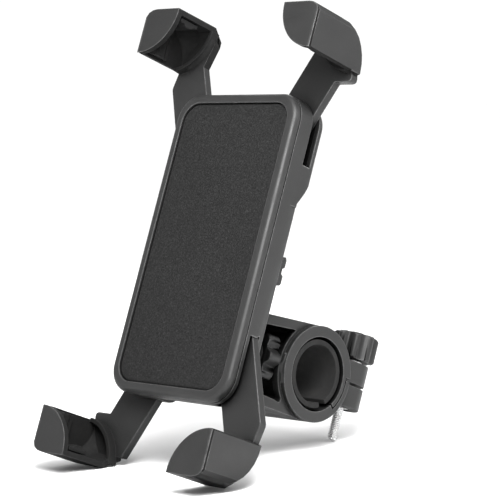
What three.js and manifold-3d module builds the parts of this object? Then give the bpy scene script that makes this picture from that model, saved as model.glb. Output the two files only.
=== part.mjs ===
// Handlebar phone mount: four hooked arms on racks round one pinion, on a swivelling clamp.
//
// Frame: the origin is the centre of the clamp's bore, +X runs along the handlebar, +Z is up.
// Everything is drawn in the holder's own frame, which leans back by LEAN about X:
// X is its width, Y its depth (growing towards the handlebar) and Z its height.
// Millimetres throughout.
import * as THREE from "three";
import { mergeVertices } from "three/addons/utils/BufferGeometryUtils.js";
import Module from "manifold-3d";

const wasm = await Module();
wasm.setup();

// ---- Driving dimensions ----

const LEAN = THREE.MathUtils.degToRad(21.7);
const BAR_DIAMETER = 22.2; // standard handlebar grip section
const BAR_BEHIND_PAD = 63.5; // bar axis behind the pad's front face
const BAR_BELOW_MIDDLE = 32; // bar axis below the middle of the pad
const GAP = 0.3; // between pieces that rest on each other

// Holder body
const BODY_WIDTH = 63;
const BODY_HEIGHT = 116.8;
const CORNER_RADIUS = 10;
const WALL = 2;
const RIM = 4.2; // frame left showing round the pad
const RIM_PROUD = 0.6; // rim in front of the pad's face
const PARTING = 2.5; // depth of the parting line behind the pad's face
const BODY_DEPTH = 13;
const DECK_DEPTH = 16.4; // raised middle and corner pods, over the rear pair of arms
const DECK_WIDTH = 46;
const DECK_HEIGHT = 74;
const DECK_INSIDE = DECK_DEPTH - WALL - 0.2; // depth of the cover's deepest inner face
const PAD_THICKNESS = 1.3;
const SHELL_FLOOR = 3.4;

// Arm mechanism
const ARM_ANGLE = THREE.MathUtils.degToRad(25.5); // between an arm and the long axis
const ARM_WIDTH = 17.6;
const ARM_THICKNESS = 3.2;
const FRONT_LEVEL = 6; // front face of the front pair of arms
const REAR_LEVEL = 9.6; // front face of the rear pair
const ARM_TRAVEL = 17; // how far each arm slides in
const RACK_JOIN = 26; // along an arm, where its rack meets the full plate
const SLIDE_CLEARANCE = 0.5; // beside an arm in its slot
const GEAR_MODULE = 1;
const PINION_TEETH = 12;
const PINION_PIN_RADIUS = 1.5;
const PINION_RUNNING_FIT = 0.1; // between the pin and the pinion's bore
const PIN_SEAT = 1; // how deep the pin sits in the shell and in the cover
const PITCH_RADIUS = (GEAR_MODULE * PINION_TEETH) / 2;
const BACKLASH = 0.34; // taken off each flank pair, so that the teeth run free
const PRESSURE_ANGLE = THREE.MathUtils.degToRad(20);
const RACK_BACK = 10; // back edge of a rack from the pinion's axis
const RACK_TAIL = -8; // end of a rack past the pinion, arms extended
const REAR_SLOT_END = 34; // height where each side slot starts
const FRONT_SLOT_END = 32.2;

// Claws
const CLAW_X = 45.4; // outer face of a claw's side wall
const CLAW_Z = 87.3; // outer face of its end wall
const CLAW_REACH = 17.6; // radius of the lip, about the claw's outer corner
const CLAW_FRONT = -16;
const CLAW_WALL = 2.2;
const CLAW_BEND_FRONT = 4.5; // depth where the end wall starts to bend
const CLAW_SIDE_RADIUS = 17; // of the side wall's rear corner
const CLAW_RIB_HEIGHT = 3.4;
const PAD_LINING = 1.5;
const RIDGE_WIDTH = 5;
const RIDGE_HEIGHT = 1.1;

// Swivel and clamp, about the bar's axis
const RING_OUTER = 18.5;
const RING_INNER = 14.3;
const RING_HALF_WIDTH = 12;
const YOKE_HALF_WIDTH = 10;
const YOKE_WALL = 2.8;
const WINDOW_RADIUS = 19.8; // rear edge of the side windows
const FLANGE_RADIUS = 17.5;
const FLANGE_FRONT = 18.4; // depth of the flange's front face
const FLANGE_THICKNESS = 4;
const STUD_RADIUS = 4;
const NUT_RADIUS = 11.4;
const NUT_LOBES = 8;
const BOLT_RADIUS = 2;
const BOLT_BEHIND_BAR = 28.9;
const EAR_HALF_WIDTH = 7.6;
const EAR_TOP = 11.2;
const EAR_BOTTOM = -6.9;
const SPLIT_LOW = 1.7;
const SPLIT_HIGH = 2.7;
const KNOB_RADIUS = 9.2;
const KNOB_HEIGHT = 10.2;
const KNOB_LOBES = 8;
const BOLT_TIP = -19.8;

const ARC_STEPS = 6; // segments in a quarter turn of a small corner

// ---- Solids: three.js geometries joined and cut ----

// Closed solid of a three.js geometry.
function solid(geometry) {
  const bare = geometry.index ? geometry.toNonIndexed() : geometry.clone();
  bare.deleteAttribute("normal");
  bare.deleteAttribute("uv");
  const merged = mergeVertices(bare, 1e-4);
  return new wasm.Manifold(
    new wasm.Mesh({
      numProp: 3,
      vertProperties: merged.attributes.position.array,
      triVerts: new Uint32Array(merged.index.array),
    }),
  );
}

// three.js geometry of a solid.
function geometryOf(body) {
  const mesh = body.getMesh();
  const geometry = new THREE.BufferGeometry();
  geometry.setAttribute("position", new THREE.BufferAttribute(mesh.vertProperties, 3));
  geometry.setIndex(new THREE.BufferAttribute(mesh.triVerts, 1));
  geometry.computeVertexNormals();
  return geometry;
}

// Outline in X and Z, drawn out in depth from one Y to another.
function slab(shape, front, back, curveSegments = ARC_STEPS) {
  const geometry = new THREE.ExtrudeGeometry(shape, {
    depth: back - front,
    bevelEnabled: false,
    curveSegments,
  });
  geometry.rotateX(Math.PI / 2);
  geometry.translate(0, back, 0);
  return solid(geometry);
}

// Side view in Y and Z, drawn out along X from one side to the other.
function across(shape, from, to, curveSegments = 12) {
  const geometry = new THREE.ExtrudeGeometry(shape, {
    depth: to - from,
    bevelEnabled: false,
    curveSegments,
  });
  const yzx = new THREE.Matrix4().makeBasis(
    new THREE.Vector3(0, 1, 0),
    new THREE.Vector3(0, 0, 1),
    new THREE.Vector3(1, 0, 0),
  );
  geometry.applyMatrix4(yzx);
  geometry.translate(from, 0, 0);
  return solid(geometry);
}

// Plan in X and Y, drawn up along Z.
function upright(shape, from, to, curveSegments = 10) {
  const geometry = new THREE.ExtrudeGeometry(shape, {
    depth: to - from,
    bevelEnabled: false,
    curveSegments,
  });
  geometry.translate(0, 0, from);
  return solid(geometry);
}

// Turned piece about the Y axis through (x, z), from a profile of [radius, depth] points.
function turned(profile, x, z, segments = 32) {
  const points = profile.map(([radius, depth]) => new THREE.Vector2(radius, depth));
  const geometry = new THREE.LatheGeometry(points, segments);
  geometry.translate(x, 0, z);
  return solid(geometry);
}

// Round bar along Y.
function pin(radius, x, z, front, back, segments = 32) {
  return turned([[0, front], [radius, front], [radius, back], [0, back]], x, z, segments);
}

function block(x1, x2, y1, y2, z1, z2) {
  const geometry = new THREE.BoxGeometry(x2 - x1, y2 - y1, z2 - z1);
  geometry.translate((x1 + x2) / 2, (y1 + y2) / 2, (z1 + z2) / 2);
  return solid(geometry);
}

function polygon(points) {
  return new THREE.Shape(points.map(([a, b]) => new THREE.Vector2(a, b)));
}

// Polygon whose corners are rounded, each point given as [a, b, radius].
function roundedPolygon(points) {
  const shape = new THREE.Shape();
  points.forEach(([a, b, radius = 0], i) => {
    const here = new THREE.Vector2(a, b);
    const [pa, pb] = points[(i + points.length - 1) % points.length];
    const [na, nb] = points[(i + 1) % points.length];
    const back = new THREE.Vector2(pa, pb).sub(here).normalize();
    const ahead = new THREE.Vector2(na, nb).sub(here).normalize();
    const half = Math.acos(THREE.MathUtils.clamp(back.dot(ahead), -1, 1)) / 2;
    const reach = radius / Math.tan(half);
    const start = here.clone().addScaledVector(back, reach);
    const end = here.clone().addScaledVector(ahead, reach);
    if (i === 0) shape.moveTo(start.x, start.y);
    else shape.lineTo(start.x, start.y);
    if (radius > 0) shape.quadraticCurveTo(here.x, here.y, end.x, end.y);
  });
  shape.closePath();
  return shape;
}

function roundedRectangle(width, height, radius) {
  const shape = new THREE.Shape();
  const x = width / 2 - radius;
  const z = height / 2 - radius;
  shape.absarc(x, z, radius, 0, Math.PI / 2, false);
  shape.absarc(-x, z, radius, Math.PI / 2, Math.PI, false);
  shape.absarc(-x, -z, radius, Math.PI, 1.5 * Math.PI, false);
  shape.absarc(x, -z, radius, 1.5 * Math.PI, 2 * Math.PI, false);
  return shape;
}

// Closed skin through rings of points, each ring a closed loop with the same count.
function loft(rings) {
  const count = rings[0].length;
  const triangles = [];
  const middle = (ring) =>
    ring.reduce((sum, point) => sum.add(point), new THREE.Vector3()).divideScalar(count);
  const first = middle(rings[0]);
  const last = middle(rings[rings.length - 1]);
  for (let i = 0; i < count; i += 1) {
    const next = (i + 1) % count;
    triangles.push(first, rings[0][next], rings[0][i]);
    for (let k = 0; k + 1 < rings.length; k += 1) {
      triangles.push(rings[k][i], rings[k][next], rings[k + 1][next]);
      triangles.push(rings[k][i], rings[k + 1][next], rings[k + 1][i]);
    }
    triangles.push(last, rings[rings.length - 1][i], rings[rings.length - 1][next]);
  }
  const made = solid(new THREE.BufferGeometry().setFromPoints(triangles));
  if (made.volume() > 0) return made;
  const flipped = [];
  for (let i = 0; i < triangles.length; i += 3) {
    flipped.push(triangles[i], triangles[i + 2], triangles[i + 1]);
  }
  return solid(new THREE.BufferGeometry().setFromPoints(flipped));
}

// Rounded-rectangle body whose outline is drawn in by each section's inset.
function loftedBody(width, height, radius, sections) {
  return loft(
    sections.map(([inset, depth]) => {
      const corner = Math.max(radius - inset, 0.8);
      const outline = roundedRectangle(width - 2 * inset, height - 2 * inset, corner);
      return outline.getPoints(ARC_STEPS).map((p) => new THREE.Vector3(p.x, depth, p.y));
    }),
  );
}

// A solid moved by a matrix; a mirroring matrix turns its faces back out.
function moved(body, matrix) {
  const geometry = geometryOf(body).toNonIndexed().applyMatrix4(matrix);
  if (matrix.determinant() < 0) {
    const position = geometry.getAttribute("position");
    const swap = new THREE.Vector3();
    const other = new THREE.Vector3();
    for (let i = 0; i < position.count; i += 3) {
      swap.fromBufferAttribute(position, i + 1);
      other.fromBufferAttribute(position, i + 2);
      position.setXYZ(i + 1, other.x, other.y, other.z);
      position.setXYZ(i + 2, swap.x, swap.y, swap.z);
    }
  }
  return solid(geometry);
}

function shifted(body, x, y, z) {
  return moved(body, new THREE.Matrix4().makeTranslation(x, y, z));
}

function union(bodies) {
  return bodies.reduce((sum, body) => sum.add(body));
}

// ---- Materials ----

function plastic(colour) {
  return new THREE.MeshStandardMaterial({ color: colour, roughness: 0.52, metalness: 0 });
}

function rubber(colour) {
  return new THREE.MeshStandardMaterial({ color: colour, roughness: 0.85, metalness: 0 });
}

function steel() {
  return new THREE.MeshStandardMaterial({ color: 0xb9bcc0, roughness: 0.3, metalness: 1 });
}

// Named mesh of a solid.
function piece(name, body, material) {
  const mesh = new THREE.Mesh(geometryOf(body), material);
  mesh.name = name;
  return mesh;
}

// ---- Holder body ----

// Screw positions: between the arms' paths, matched under a half turn.
const SCREWS = [
  [-5, 50],
  [26.6, 12],
  [-26.6, -12],
  [5, -50],
];
const SCREW_POST_RADIUS = 2.6;
const SCREW_RADIUS = 1.2;
const SCREW_HEAD_RADIUS = 2.4;
const SCREW_HEAD_FRONT = 11.9;
const SCREW_HEAD_BACK = 13;
const POST_BACK = 9.4;

function frontShell() {
  const outer = loftedBody(BODY_WIDTH, BODY_HEIGHT, CORNER_RADIUS, [
    [2.3, -RIM_PROUD],
    [1.2, -RIM_PROUD + 0.25],
    [0.35, 0.35],
    [0, 1.3],
    [0, PARTING],
  ]);
  const tongue = loftedBody(BODY_WIDTH, BODY_HEIGHT, CORNER_RADIUS, [
    [WALL + GAP, PARTING - 0.5],
    [WALL + GAP, SHELL_FLOOR],
  ]);
  const recess = slab(
    roundedRectangle(
      BODY_WIDTH - 2 * RIM + 2 * GAP,
      BODY_HEIGHT - 2 * RIM + 2 * GAP,
      CORNER_RADIUS - RIM + 1.5,
    ),
    -RIM_PROUD - 1,
    PAD_THICKNESS + GAP,
  );
  let body = outer.add(tongue);
  for (const [x, z] of SCREWS) {
    body = body.add(pin(SCREW_POST_RADIUS, x, z, SHELL_FLOOR - 0.5, POST_BACK, 16));
  }
  body = body.subtract(recess);
  for (const [x, z] of SCREWS) {
    body = body.subtract(pin(SCREW_RADIUS + GAP, x, z, SHELL_FLOOR + 1, POST_BACK + 1, 12));
  }
  return body.subtract(pinSeats());
}

function gripPad() {
  return loftedBody(BODY_WIDTH - 2 * RIM, BODY_HEIGHT - 2 * RIM, CORNER_RADIUS - RIM + 1.2, [
    [0.35, 0],
    [0, 0.35],
    [0, PAD_THICKNESS],
  ]);
}

// x of an arm's edge line, offset sideways from the pinion's axis, at a height.
function edgeLine(offset, height) {
  return height * Math.tan(ARM_ANGLE) + offset / Math.cos(ARM_ANGLE);
}

// Sideways offsets of the two edges of each arm type from the line through the pinion's axis.
const REAR_INNER = -12.9;
const REAR_OUTER = REAR_INNER + ARM_WIDTH;
const FRONT_INNER = -3.2;
const FRONT_OUTER = FRONT_INNER + ARM_WIDTH;

// A front arm's inner edge flares in to its claw between these heights, and slides in as far as the end wall.
const FLARE_START = 71.7;
const FLARE_END = 80.5;
const FLARE_SLOPE = (edgeLine(FRONT_INNER, FLARE_START) - (CLAW_X - CLAW_REACH)) / (FLARE_END - FLARE_START);
const FLARE_DEPTH = BODY_HEIGHT / 2 - (FLARE_START - ARM_TRAVEL * Math.cos(ARM_ANGLE));
const FLARE_CLEARANCE = SLIDE_CLEARANCE + FLARE_DEPTH * (FLARE_SLOPE + Math.tan(ARM_ANGLE));

// Plan of the raised corner over a rear arm, drawn in by an inset.
function podPlan(inset) {
  const top = BODY_HEIGHT / 2 + 5;
  return polygon([
    [edgeLine(REAR_INNER, 22) - 2.6 + inset, 22],
    [edgeLine(REAR_INNER, top) - 2.6 + inset, top],
    [BODY_WIDTH, top],
    [BODY_WIDTH, 18 + inset],
    [10, 18 + inset],
  ]);
}

// Side view of the pod: full depth above its slope.
function podProfile(depth, inset) {
  const slopeStart = 19.5 + inset;
  const slopeEnd = 29 + 1.2 * inset;
  return polygon([
    [PARTING + GAP, 10],
    [BODY_DEPTH - 1.6 - inset, 10],
    [BODY_DEPTH - 1.6 - inset, slopeStart],
    [depth, slopeEnd],
    [depth, BODY_HEIGHT],
    [PARTING + GAP, BODY_HEIGHT],
  ]);
}

// Half turn about the pinion's axis.
function halfTurned(body) {
  return moved(body, new THREE.Matrix4().makeRotationY(Math.PI));
}

function coverOuter() {
  const front = PARTING + GAP;
  const base = loftedBody(BODY_WIDTH, BODY_HEIGHT, CORNER_RADIUS, [
    [0, front],
    [0, 7.6],
    [1, 11.6],
    [1.5, 12.5],
    [2.6, BODY_DEPTH],
  ]);
  const deck = loftedBody(DECK_WIDTH, DECK_HEIGHT, 8, [
    [-1.5, BODY_DEPTH - 1],
    [0.6, DECK_DEPTH - 0.9],
    [1.6, DECK_DEPTH],
  ]);
  const tall = loftedBody(BODY_WIDTH, BODY_HEIGHT, CORNER_RADIUS, [
    [0, front],
    [0, 13.8],
    [0.6, 15.4],
    [1.4, 16.1],
    [2.4, DECK_DEPTH],
  ]);
  const pod = tall
    .intersect(slab(podPlan(0), 0, DECK_DEPTH + 1))
    .intersect(across(podProfile(DECK_DEPTH, 0), -BODY_WIDTH, BODY_WIDTH));
  return union([base, deck, pod, halfTurned(pod)]);
}

function coverCavity() {
  const front = PARTING - 1;
  const base = loftedBody(BODY_WIDTH, BODY_HEIGHT, CORNER_RADIUS, [
    [WALL, front],
    [WALL, BODY_DEPTH - 3.4],
    [WALL + 1, BODY_DEPTH - WALL],
  ]);
  const deck = loftedBody(DECK_WIDTH, DECK_HEIGHT, 8, [
    [WALL + 0.8, BODY_DEPTH - WALL - 1],
    [WALL + 0.8, DECK_INSIDE],
  ]);
  const inside = loftedBody(BODY_WIDTH, BODY_HEIGHT, CORNER_RADIUS, [
    [WALL, front],
    [WALL, DECK_INSIDE],
  ]);
  const pod = inside
    .intersect(slab(podPlan(WALL), 0, DECK_DEPTH))
    .intersect(across(podProfile(DECK_INSIDE, WALL), -BODY_WIDTH, BODY_WIDTH));
  return union([base, deck, pod, halfTurned(pod)]);
}

// Slot through the side and end walls at the corner x > 0, z > 0 for an arm that slides out.
function armSlot(innerOffset, clearance, start, front, back) {
  const top = BODY_HEIGHT / 2 + 4;
  const inside = start + 12;
  const run = 3; // the slot's lower end slants inwards along the arm
  const outline = polygon([
    [edgeLine(innerOffset, inside) - clearance, inside],
    [edgeLine(innerOffset, top) - clearance, top],
    [BODY_WIDTH, top],
    [BODY_WIDTH, start],
    [BODY_WIDTH / 2, start],
    [BODY_WIDTH / 2 - run, start - run / Math.tan(ARM_ANGLE)],
  ]);
  return slab(outline, front, back);
}

const SWIVEL_Z = -BAR_BELOW_MIDDLE;
const SWIVEL_BOSS_RADIUS = 12;
const SWIVEL_BOSS_BACK = 17;
const STUD_HEAD_RADIUS = 6.4;
const STUD_HEAD_FRONT = 13.2;
const STUD_HEAD_BACK = 15;

// Lock slider's place on the cover, near the right edge.
const SLIDER = {
  x1: 24.6,
  x2: 30.2,
  z1: -10.6,
  z2: 0.2,
  travel: 4,
  height: 2.1, // of the button over the cover
  groove: 1.6, // half the width of the groove between its ridges
  wedgeTip: 13.4, // x of the wedge's edge towards the arms
};

function backCover() {
  let body = coverOuter().subtract(coverCavity());
  body = body.add(pin(SWIVEL_BOSS_RADIUS, 0, SWIVEL_Z, STUD_HEAD_FRONT, SWIVEL_BOSS_BACK, 40));
  for (const [x, z] of SCREWS) {
    body = body.add(pin(SCREW_POST_RADIUS, x, z, POST_BACK + GAP, BODY_DEPTH - 0.5, 16));
  }
  const rearSlot = armSlot(
    REAR_INNER,
    SLIDE_CLEARANCE,
    REAR_SLOT_END,
    REAR_LEVEL - GAP,
    REAR_LEVEL + ARM_THICKNESS + GAP,
  );
  const frontSlot = moved(
    armSlot(
      FRONT_INNER,
      FLARE_CLEARANCE,
      FRONT_SLOT_END,
      FRONT_LEVEL - 1.4,
      FRONT_LEVEL + ARM_THICKNESS + GAP,
    ),
    new THREE.Matrix4().makeScale(1, 1, -1),
  );
  for (const slot of [rearSlot, frontSlot]) {
    body = body.subtract(slot).subtract(halfTurned(slot));
  }
  body = body.subtract(pin(STUD_RADIUS + GAP, 0, SWIVEL_Z, 0, 20));
  body = body.subtract(pin(STUD_HEAD_RADIUS + GAP, 0, SWIVEL_Z, 0, STUD_HEAD_BACK + GAP, 6));
  for (const [x, z] of SCREWS) {
    body = body.subtract(pin(SCREW_RADIUS + GAP, x, z, 4, 20, 12));
    body = body.subtract(pin(SCREW_HEAD_RADIUS + GAP, x, z, SCREW_HEAD_FRONT - GAP, 20, 20));
  }
  const stemSlot = block(
    SLIDER.x1 + 1.4,
    SLIDER.x2 - 1.9,
    8,
    15,
    SLIDER.z1 + 2.7,
    SLIDER.z2 - 2.7 + SLIDER.travel,
  );
  return body.subtract(stemSlot).subtract(pinSeats());
}

function coverScrew([x, z]) {
  const shank = pin(SCREW_RADIUS, x, z, SHELL_FLOOR + 2, SCREW_HEAD_FRONT + 0.3, 12);
  const head = turned(
    [
      [0, SCREW_HEAD_FRONT],
      [SCREW_HEAD_RADIUS, SCREW_HEAD_FRONT],
      [SCREW_HEAD_RADIUS, SCREW_HEAD_BACK - 0.5],
      [SCREW_HEAD_RADIUS - 0.8, SCREW_HEAD_BACK],
      [0, SCREW_HEAD_BACK],
    ],
    x,
    z,
    20,
  );
  return shank.add(head);
}

// ---- Arms and pinion ----

// Outline of the pinion: involute flanks between root and tip circles.
function pinionOutline() {
  const base = PITCH_RADIUS * Math.cos(PRESSURE_ANGLE);
  const tip = PITCH_RADIUS + 0.85 * GEAR_MODULE;
  const root = PITCH_RADIUS - 1.25 * GEAR_MODULE;
  const involute = (radius) => {
    const angle = Math.acos(Math.min(base / radius, 1));
    return Math.tan(angle) - angle;
  };
  const half =
    Math.PI / (2 * PINION_TEETH) + involute(PITCH_RADIUS) - BACKLASH / 2 / PITCH_RADIUS;
  const flank = [base, (base + tip) / 2, tip].map((radius) => [radius, half - involute(radius)]);
  const points = [];
  for (let tooth = 0; tooth < PINION_TEETH; tooth += 1) {
    const middle = (2 * Math.PI * tooth) / PINION_TEETH;
    points.push([root, middle - half]);
    flank.forEach(([radius, angle]) => points.push([radius, middle - angle]));
    [...flank].reverse().forEach(([radius, angle]) => points.push([radius, middle + angle]));
    points.push([root, middle + half]);
  }
  return polygon(points.map(([r, angle]) => [r * Math.cos(angle), r * Math.sin(angle)]));
}

function pinion() {
  const body = slab(pinionOutline(), FRONT_LEVEL - 0.2, REAR_LEVEL + ARM_THICKNESS + 0.2);
  const hub = pin(3.4, 0, 0, SHELL_FLOOR + 0.4, DECK_INSIDE - 0.4, 20);
  return body.add(hub).subtract(pin(PINION_PIN_RADIUS + PINION_RUNNING_FIT, 0, 0, 0, 20, 20));
}

// Blind holes in the front shell and the back cover that hold the pin's two ends.
function pinSeats() {
  const radius = PINION_PIN_RADIUS + PINION_RUNNING_FIT;
  return pin(radius, 0, 0, SHELL_FLOOR - PIN_SEAT, DECK_INSIDE + PIN_SEAT, 20);
}

function pinionPin() {
  const front = SHELL_FLOOR - PIN_SEAT + GAP;
  return pin(PINION_PIN_RADIUS, 0, 0, front, DECK_INSIDE + PIN_SEAT - GAP, 20);
}

// Rack along +Z in its own frame, its pitch line at x = PITCH_RADIUS and its teeth facing -X.
// A tooth space is centred on z = 0 plus the phase.
function rackOutline(from, to, phase) {
  const pitch = Math.PI * GEAR_MODULE;
  const tip = PITCH_RADIUS - 0.85 * GEAR_MODULE;
  const root = PITCH_RADIUS + 1.2 * GEAR_MODULE;
  const slope = Math.tan(PRESSURE_ANGLE);
  const half = pitch / 4 - BACKLASH / 2; // half a tooth at the pitch line
  const tipHalf = half - (PITCH_RADIUS - tip) * slope;
  const rootHalf = half + (root - PITCH_RADIUS) * slope;
  const points = [
    [RACK_BACK, to],
    [RACK_BACK, from],
    [root, from],
  ];
  const first = Math.ceil((from + rootHalf - phase) / pitch - 0.5);
  for (let tooth = first; ; tooth += 1) {
    const z = (tooth + 0.5) * pitch + phase;
    if (z + rootHalf > to) break;
    points.push([root, z - rootHalf], [tip, z - tipHalf], [tip, z + tipHalf], [root, z + rootHalf]);
  }
  points.push([root, to]);
  return polygon(points);
}

// Rack tail of an arm: side is -1 where it passes the pinion on the inner side, 1 on the outer.
function rackTail(level, side, phase) {
  const rack = slab(rackOutline(RACK_TAIL, RACK_JOIN + 2, phase), level, level + ARM_THICKNESS);
  const matrix = new THREE.Matrix4().makeRotationY(ARM_ANGLE);
  return moved(rack, matrix.scale(new THREE.Vector3(side, 1, 1)));
}

// Point on an arm: along it from the pinion's axis, and sideways.
function onArm(along, sideways) {
  return [
    along * Math.sin(ARM_ANGLE) + sideways * Math.cos(ARM_ANGLE),
    along * Math.cos(ARM_ANGLE) - sideways * Math.sin(ARM_ANGLE),
  ];
}

// Claw's outer or, drawn in, inner form, lofted across from its open end to its side wall.
// Its rear corner is a short bend at the open end and a wide sweep at the side wall.
function clawForm(level, inset, open) {
  const back = level + ARM_THICKNESS - (inset > 0 ? ARM_THICKNESS : 0);
  const front = CLAW_FRONT + inset;
  const top = CLAW_Z - inset;
  const bottom = CLAW_Z - CLAW_REACH - (open ? 10 : 0);
  const inner = CLAW_X - CLAW_REACH - (open ? 10 : 0);
  const outer = CLAW_X - inset;
  const cornerStart = CLAW_BEND_FRONT - 0.4 * inset;
  const cornerEnd = CLAW_Z - 4.5 - 0.5 * inset;
  const sweep = CLAW_SIDE_RADIUS - inset;
  const rings = [
    [inner, 0, 0],
    [CLAW_X - 8, 0, 0],
    [CLAW_X - 5.2, 0.3, 0],
    [CLAW_X - 3, 0.62, 0.35],
    [CLAW_X - 1.1 - 0.35 * inset, 0.88, 1.35],
    [outer, 1, 3.2],
  ].map(([x, blend, drop]) => {
    const lowered = Math.max(top - drop, bottom);
    const ring = [
      new THREE.Vector3(x, front, bottom),
      new THREE.Vector3(x, front, lowered),
    ];
    for (let i = 0; i <= 8; i += 1) {
      const t = i / 8;
      const turn = (t * Math.PI) / 2;
      const sharpY = THREE.MathUtils.lerp(cornerStart, back, t);
      const sharpZ = THREE.MathUtils.lerp(top, cornerEnd, t);
      const sweptY = back - sweep + sweep * Math.sin(turn);
      const sweptZ = top - sweep + sweep * Math.cos(turn);
      ring.push(
        new THREE.Vector3(
          x,
          THREE.MathUtils.lerp(sharpY, sweptY, blend),
          Math.min(THREE.MathUtils.lerp(sharpZ, sweptZ, blend), lowered),
        ),
      );
    }
    ring.push(new THREE.Vector3(x, back, bottom));
    return ring;
  });
  return loft(rings);
}

// Everything in front of the mid plane of the lip that lies outside its quarter disc.
function outsideLip() {
  const keep = new THREE.Shape();
  keep.absarc(CLAW_X, CLAW_Z, CLAW_REACH, 0, 2 * Math.PI, false);
  const sheet = block(0, CLAW_X + 5, CLAW_FRONT - 1, CLAW_FRONT + CLAW_WALL + 0.2, 50, CLAW_Z + 5);
  return sheet.subtract(slab(keep, CLAW_FRONT - 2, CLAW_FRONT + CLAW_WALL + 1, 48));
}

// Curved rib inside the claw, in line with the lip, that the phone's back rests on.
function clawRib(level) {
  const ring = new THREE.Shape();
  ring.absarc(CLAW_X, CLAW_Z, CLAW_REACH + 0.9, Math.PI + 0.12, 1.5 * Math.PI - 0.12, false);
  ring.absarc(CLAW_X, CLAW_Z, CLAW_REACH - 0.7, 1.5 * Math.PI - 0.12, Math.PI + 0.12, true);
  ring.closePath();
  return slab(ring, level - CLAW_RIB_HEIGHT, level + 0.5, 10);
}

// Outline of an arm's flat plate with the foot of its claw, in the corner x > 0, z > 0.
function armPlan(rear) {
  const inner = rear ? REAR_INNER : FRONT_INNER;
  const outer = rear ? REAR_OUTER : FRONT_OUTER;
  const clawInner = CLAW_X - CLAW_REACH;
  const shoulder = rear ? 66 : (CLAW_X - edgeLine(outer, 0)) / Math.tan(ARM_ANGLE);
  const top = CLAW_Z - 5.5;
  const points = [[...onArm(RACK_JOIN, inner), 1.5]];
  if (rear) {
    points.push([edgeLine(inner, top), top, 0]);
  } else {
    points.push(
      [edgeLine(inner, FLARE_START), FLARE_START, 0.5],
      [clawInner, FLARE_END, 0.5],
      [clawInner, top, 0],
    );
  }
  points.push([CLAW_X - 6, top, 0], [CLAW_X - 1.6, CLAW_Z - CLAW_SIDE_RADIUS + 0.4, 0]);
  if (rear) {
    points.push([CLAW_X, shoulder, 2], [edgeLine(outer, shoulder), shoulder, 0.6]);
  } else {
    points.push([CLAW_X, shoulder + 1, 3]);
  }
  points.push([...onArm(RACK_JOIN, outer), 1.5]);
  return roundedPolygon(points);
}

// What a front arm's claw leaves out, so that its back follows the flare of the arm's inner edge.
function besideFlare() {
  const inner = CLAW_X - CLAW_REACH;
  const low = FLARE_START - 12;
  const outline = polygon([
    [inner - 10, low],
    [edgeLine(FRONT_INNER, low), low],
    [edgeLine(FRONT_INNER, FLARE_START), FLARE_START],
    [inner, FLARE_END],
    [inner - 10, FLARE_END],
  ]);
  return slab(outline, CLAW_FRONT - 1, FRONT_LEVEL + ARM_THICKNESS + 1);
}

// One hooked arm in the corner x > 0, z > 0. Rear arms carry their rack on the inner side.
function hookedArm(rear) {
  const level = rear ? REAR_LEVEL : FRONT_LEVEL;
  const plate = slab(armPlan(rear), level, level + ARM_THICKNESS);
  const claw = clawForm(level, 0, false)
    .subtract(clawForm(level, CLAW_WALL, true))
    .subtract(outsideLip());
  const hook = rear ? claw : claw.subtract(besideFlare());
  const nearLip = CLAW_FRONT + 0.3;
  const groove = block(CLAW_X - 0.5, CLAW_X + 2, nearLip, nearLip + 0.6, 60, CLAW_Z - 3.4);
  const side = rear ? -1 : 1;
  return union([plate, hook, clawRib(level), rackTail(level, side, rackPhase(rear))])
    .subtract(groove);
}

// Where a tooth space must sit along the rack so that a pinion tooth points into it.
function rackPhase(rear) {
  const facing = rear ? Math.PI - ARM_ANGLE : -ARM_ANGLE;
  const toothStep = (2 * Math.PI) / PINION_TEETH;
  const nearest = Math.round(facing / toothStep) * toothStep;
  const turn = nearest - facing;
  return (rear ? -1 : 1) * turn * PITCH_RADIUS;
}

// Rubber lining that wraps the inner corner of a claw, with a ridge along its middle that grips the phone's edge.
function clawPad(level) {
  const outerX = CLAW_X - CLAW_WALL - GAP - 0.2;
  const outerZ = CLAW_Z - CLAW_WALL - GAP - 0.2;
  const innerX = outerX - PAD_LINING;
  const innerZ = outerZ - PAD_LINING;
  const endX = CLAW_X - CLAW_REACH + 1;
  const endZ = CLAW_Z - CLAW_REACH + 1;
  const front = CLAW_FRONT + CLAW_WALL + 1.2;
  const back = Math.min(level - CLAW_RIB_HEIGHT, CLAW_BEND_FRONT - 6) - 2.2;
  const lining = slab(
    roundedPolygon([
      [endX, outerZ],
      [outerX, outerZ, 3.4],
      [outerX, endZ],
      [innerX, endZ],
      [innerX, innerZ, 2.2],
      [endX, innerZ],
    ]),
    front,
    back,
    5,
  );
  const middle = (front + back) / 2;
  const foot = RIDGE_WIDTH / 2;
  const crest = foot - RIDGE_HEIGHT;
  const root = 0.3; // how deep the ridge is set into the lining
  const onEndWall = across(
    polygon([
      [middle - foot, innerZ + root],
      [middle - foot, innerZ],
      [middle - crest, innerZ - RIDGE_HEIGHT],
      [middle + crest, innerZ - RIDGE_HEIGHT],
      [middle + foot, innerZ],
      [middle + foot, innerZ + root],
    ]),
    endX,
    innerX,
  );
  const onSideWall = upright(
    polygon([
      [innerX + root, middle - foot],
      [innerX + root, middle + foot],
      [innerX, middle + foot],
      [innerX - RIDGE_HEIGHT, middle + crest],
      [innerX - RIDGE_HEIGHT, middle - crest],
      [innerX, middle - foot],
    ]),
    endZ,
    innerZ,
  );
  return union([lining, onEndWall, onSideWall]);
}

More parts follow.
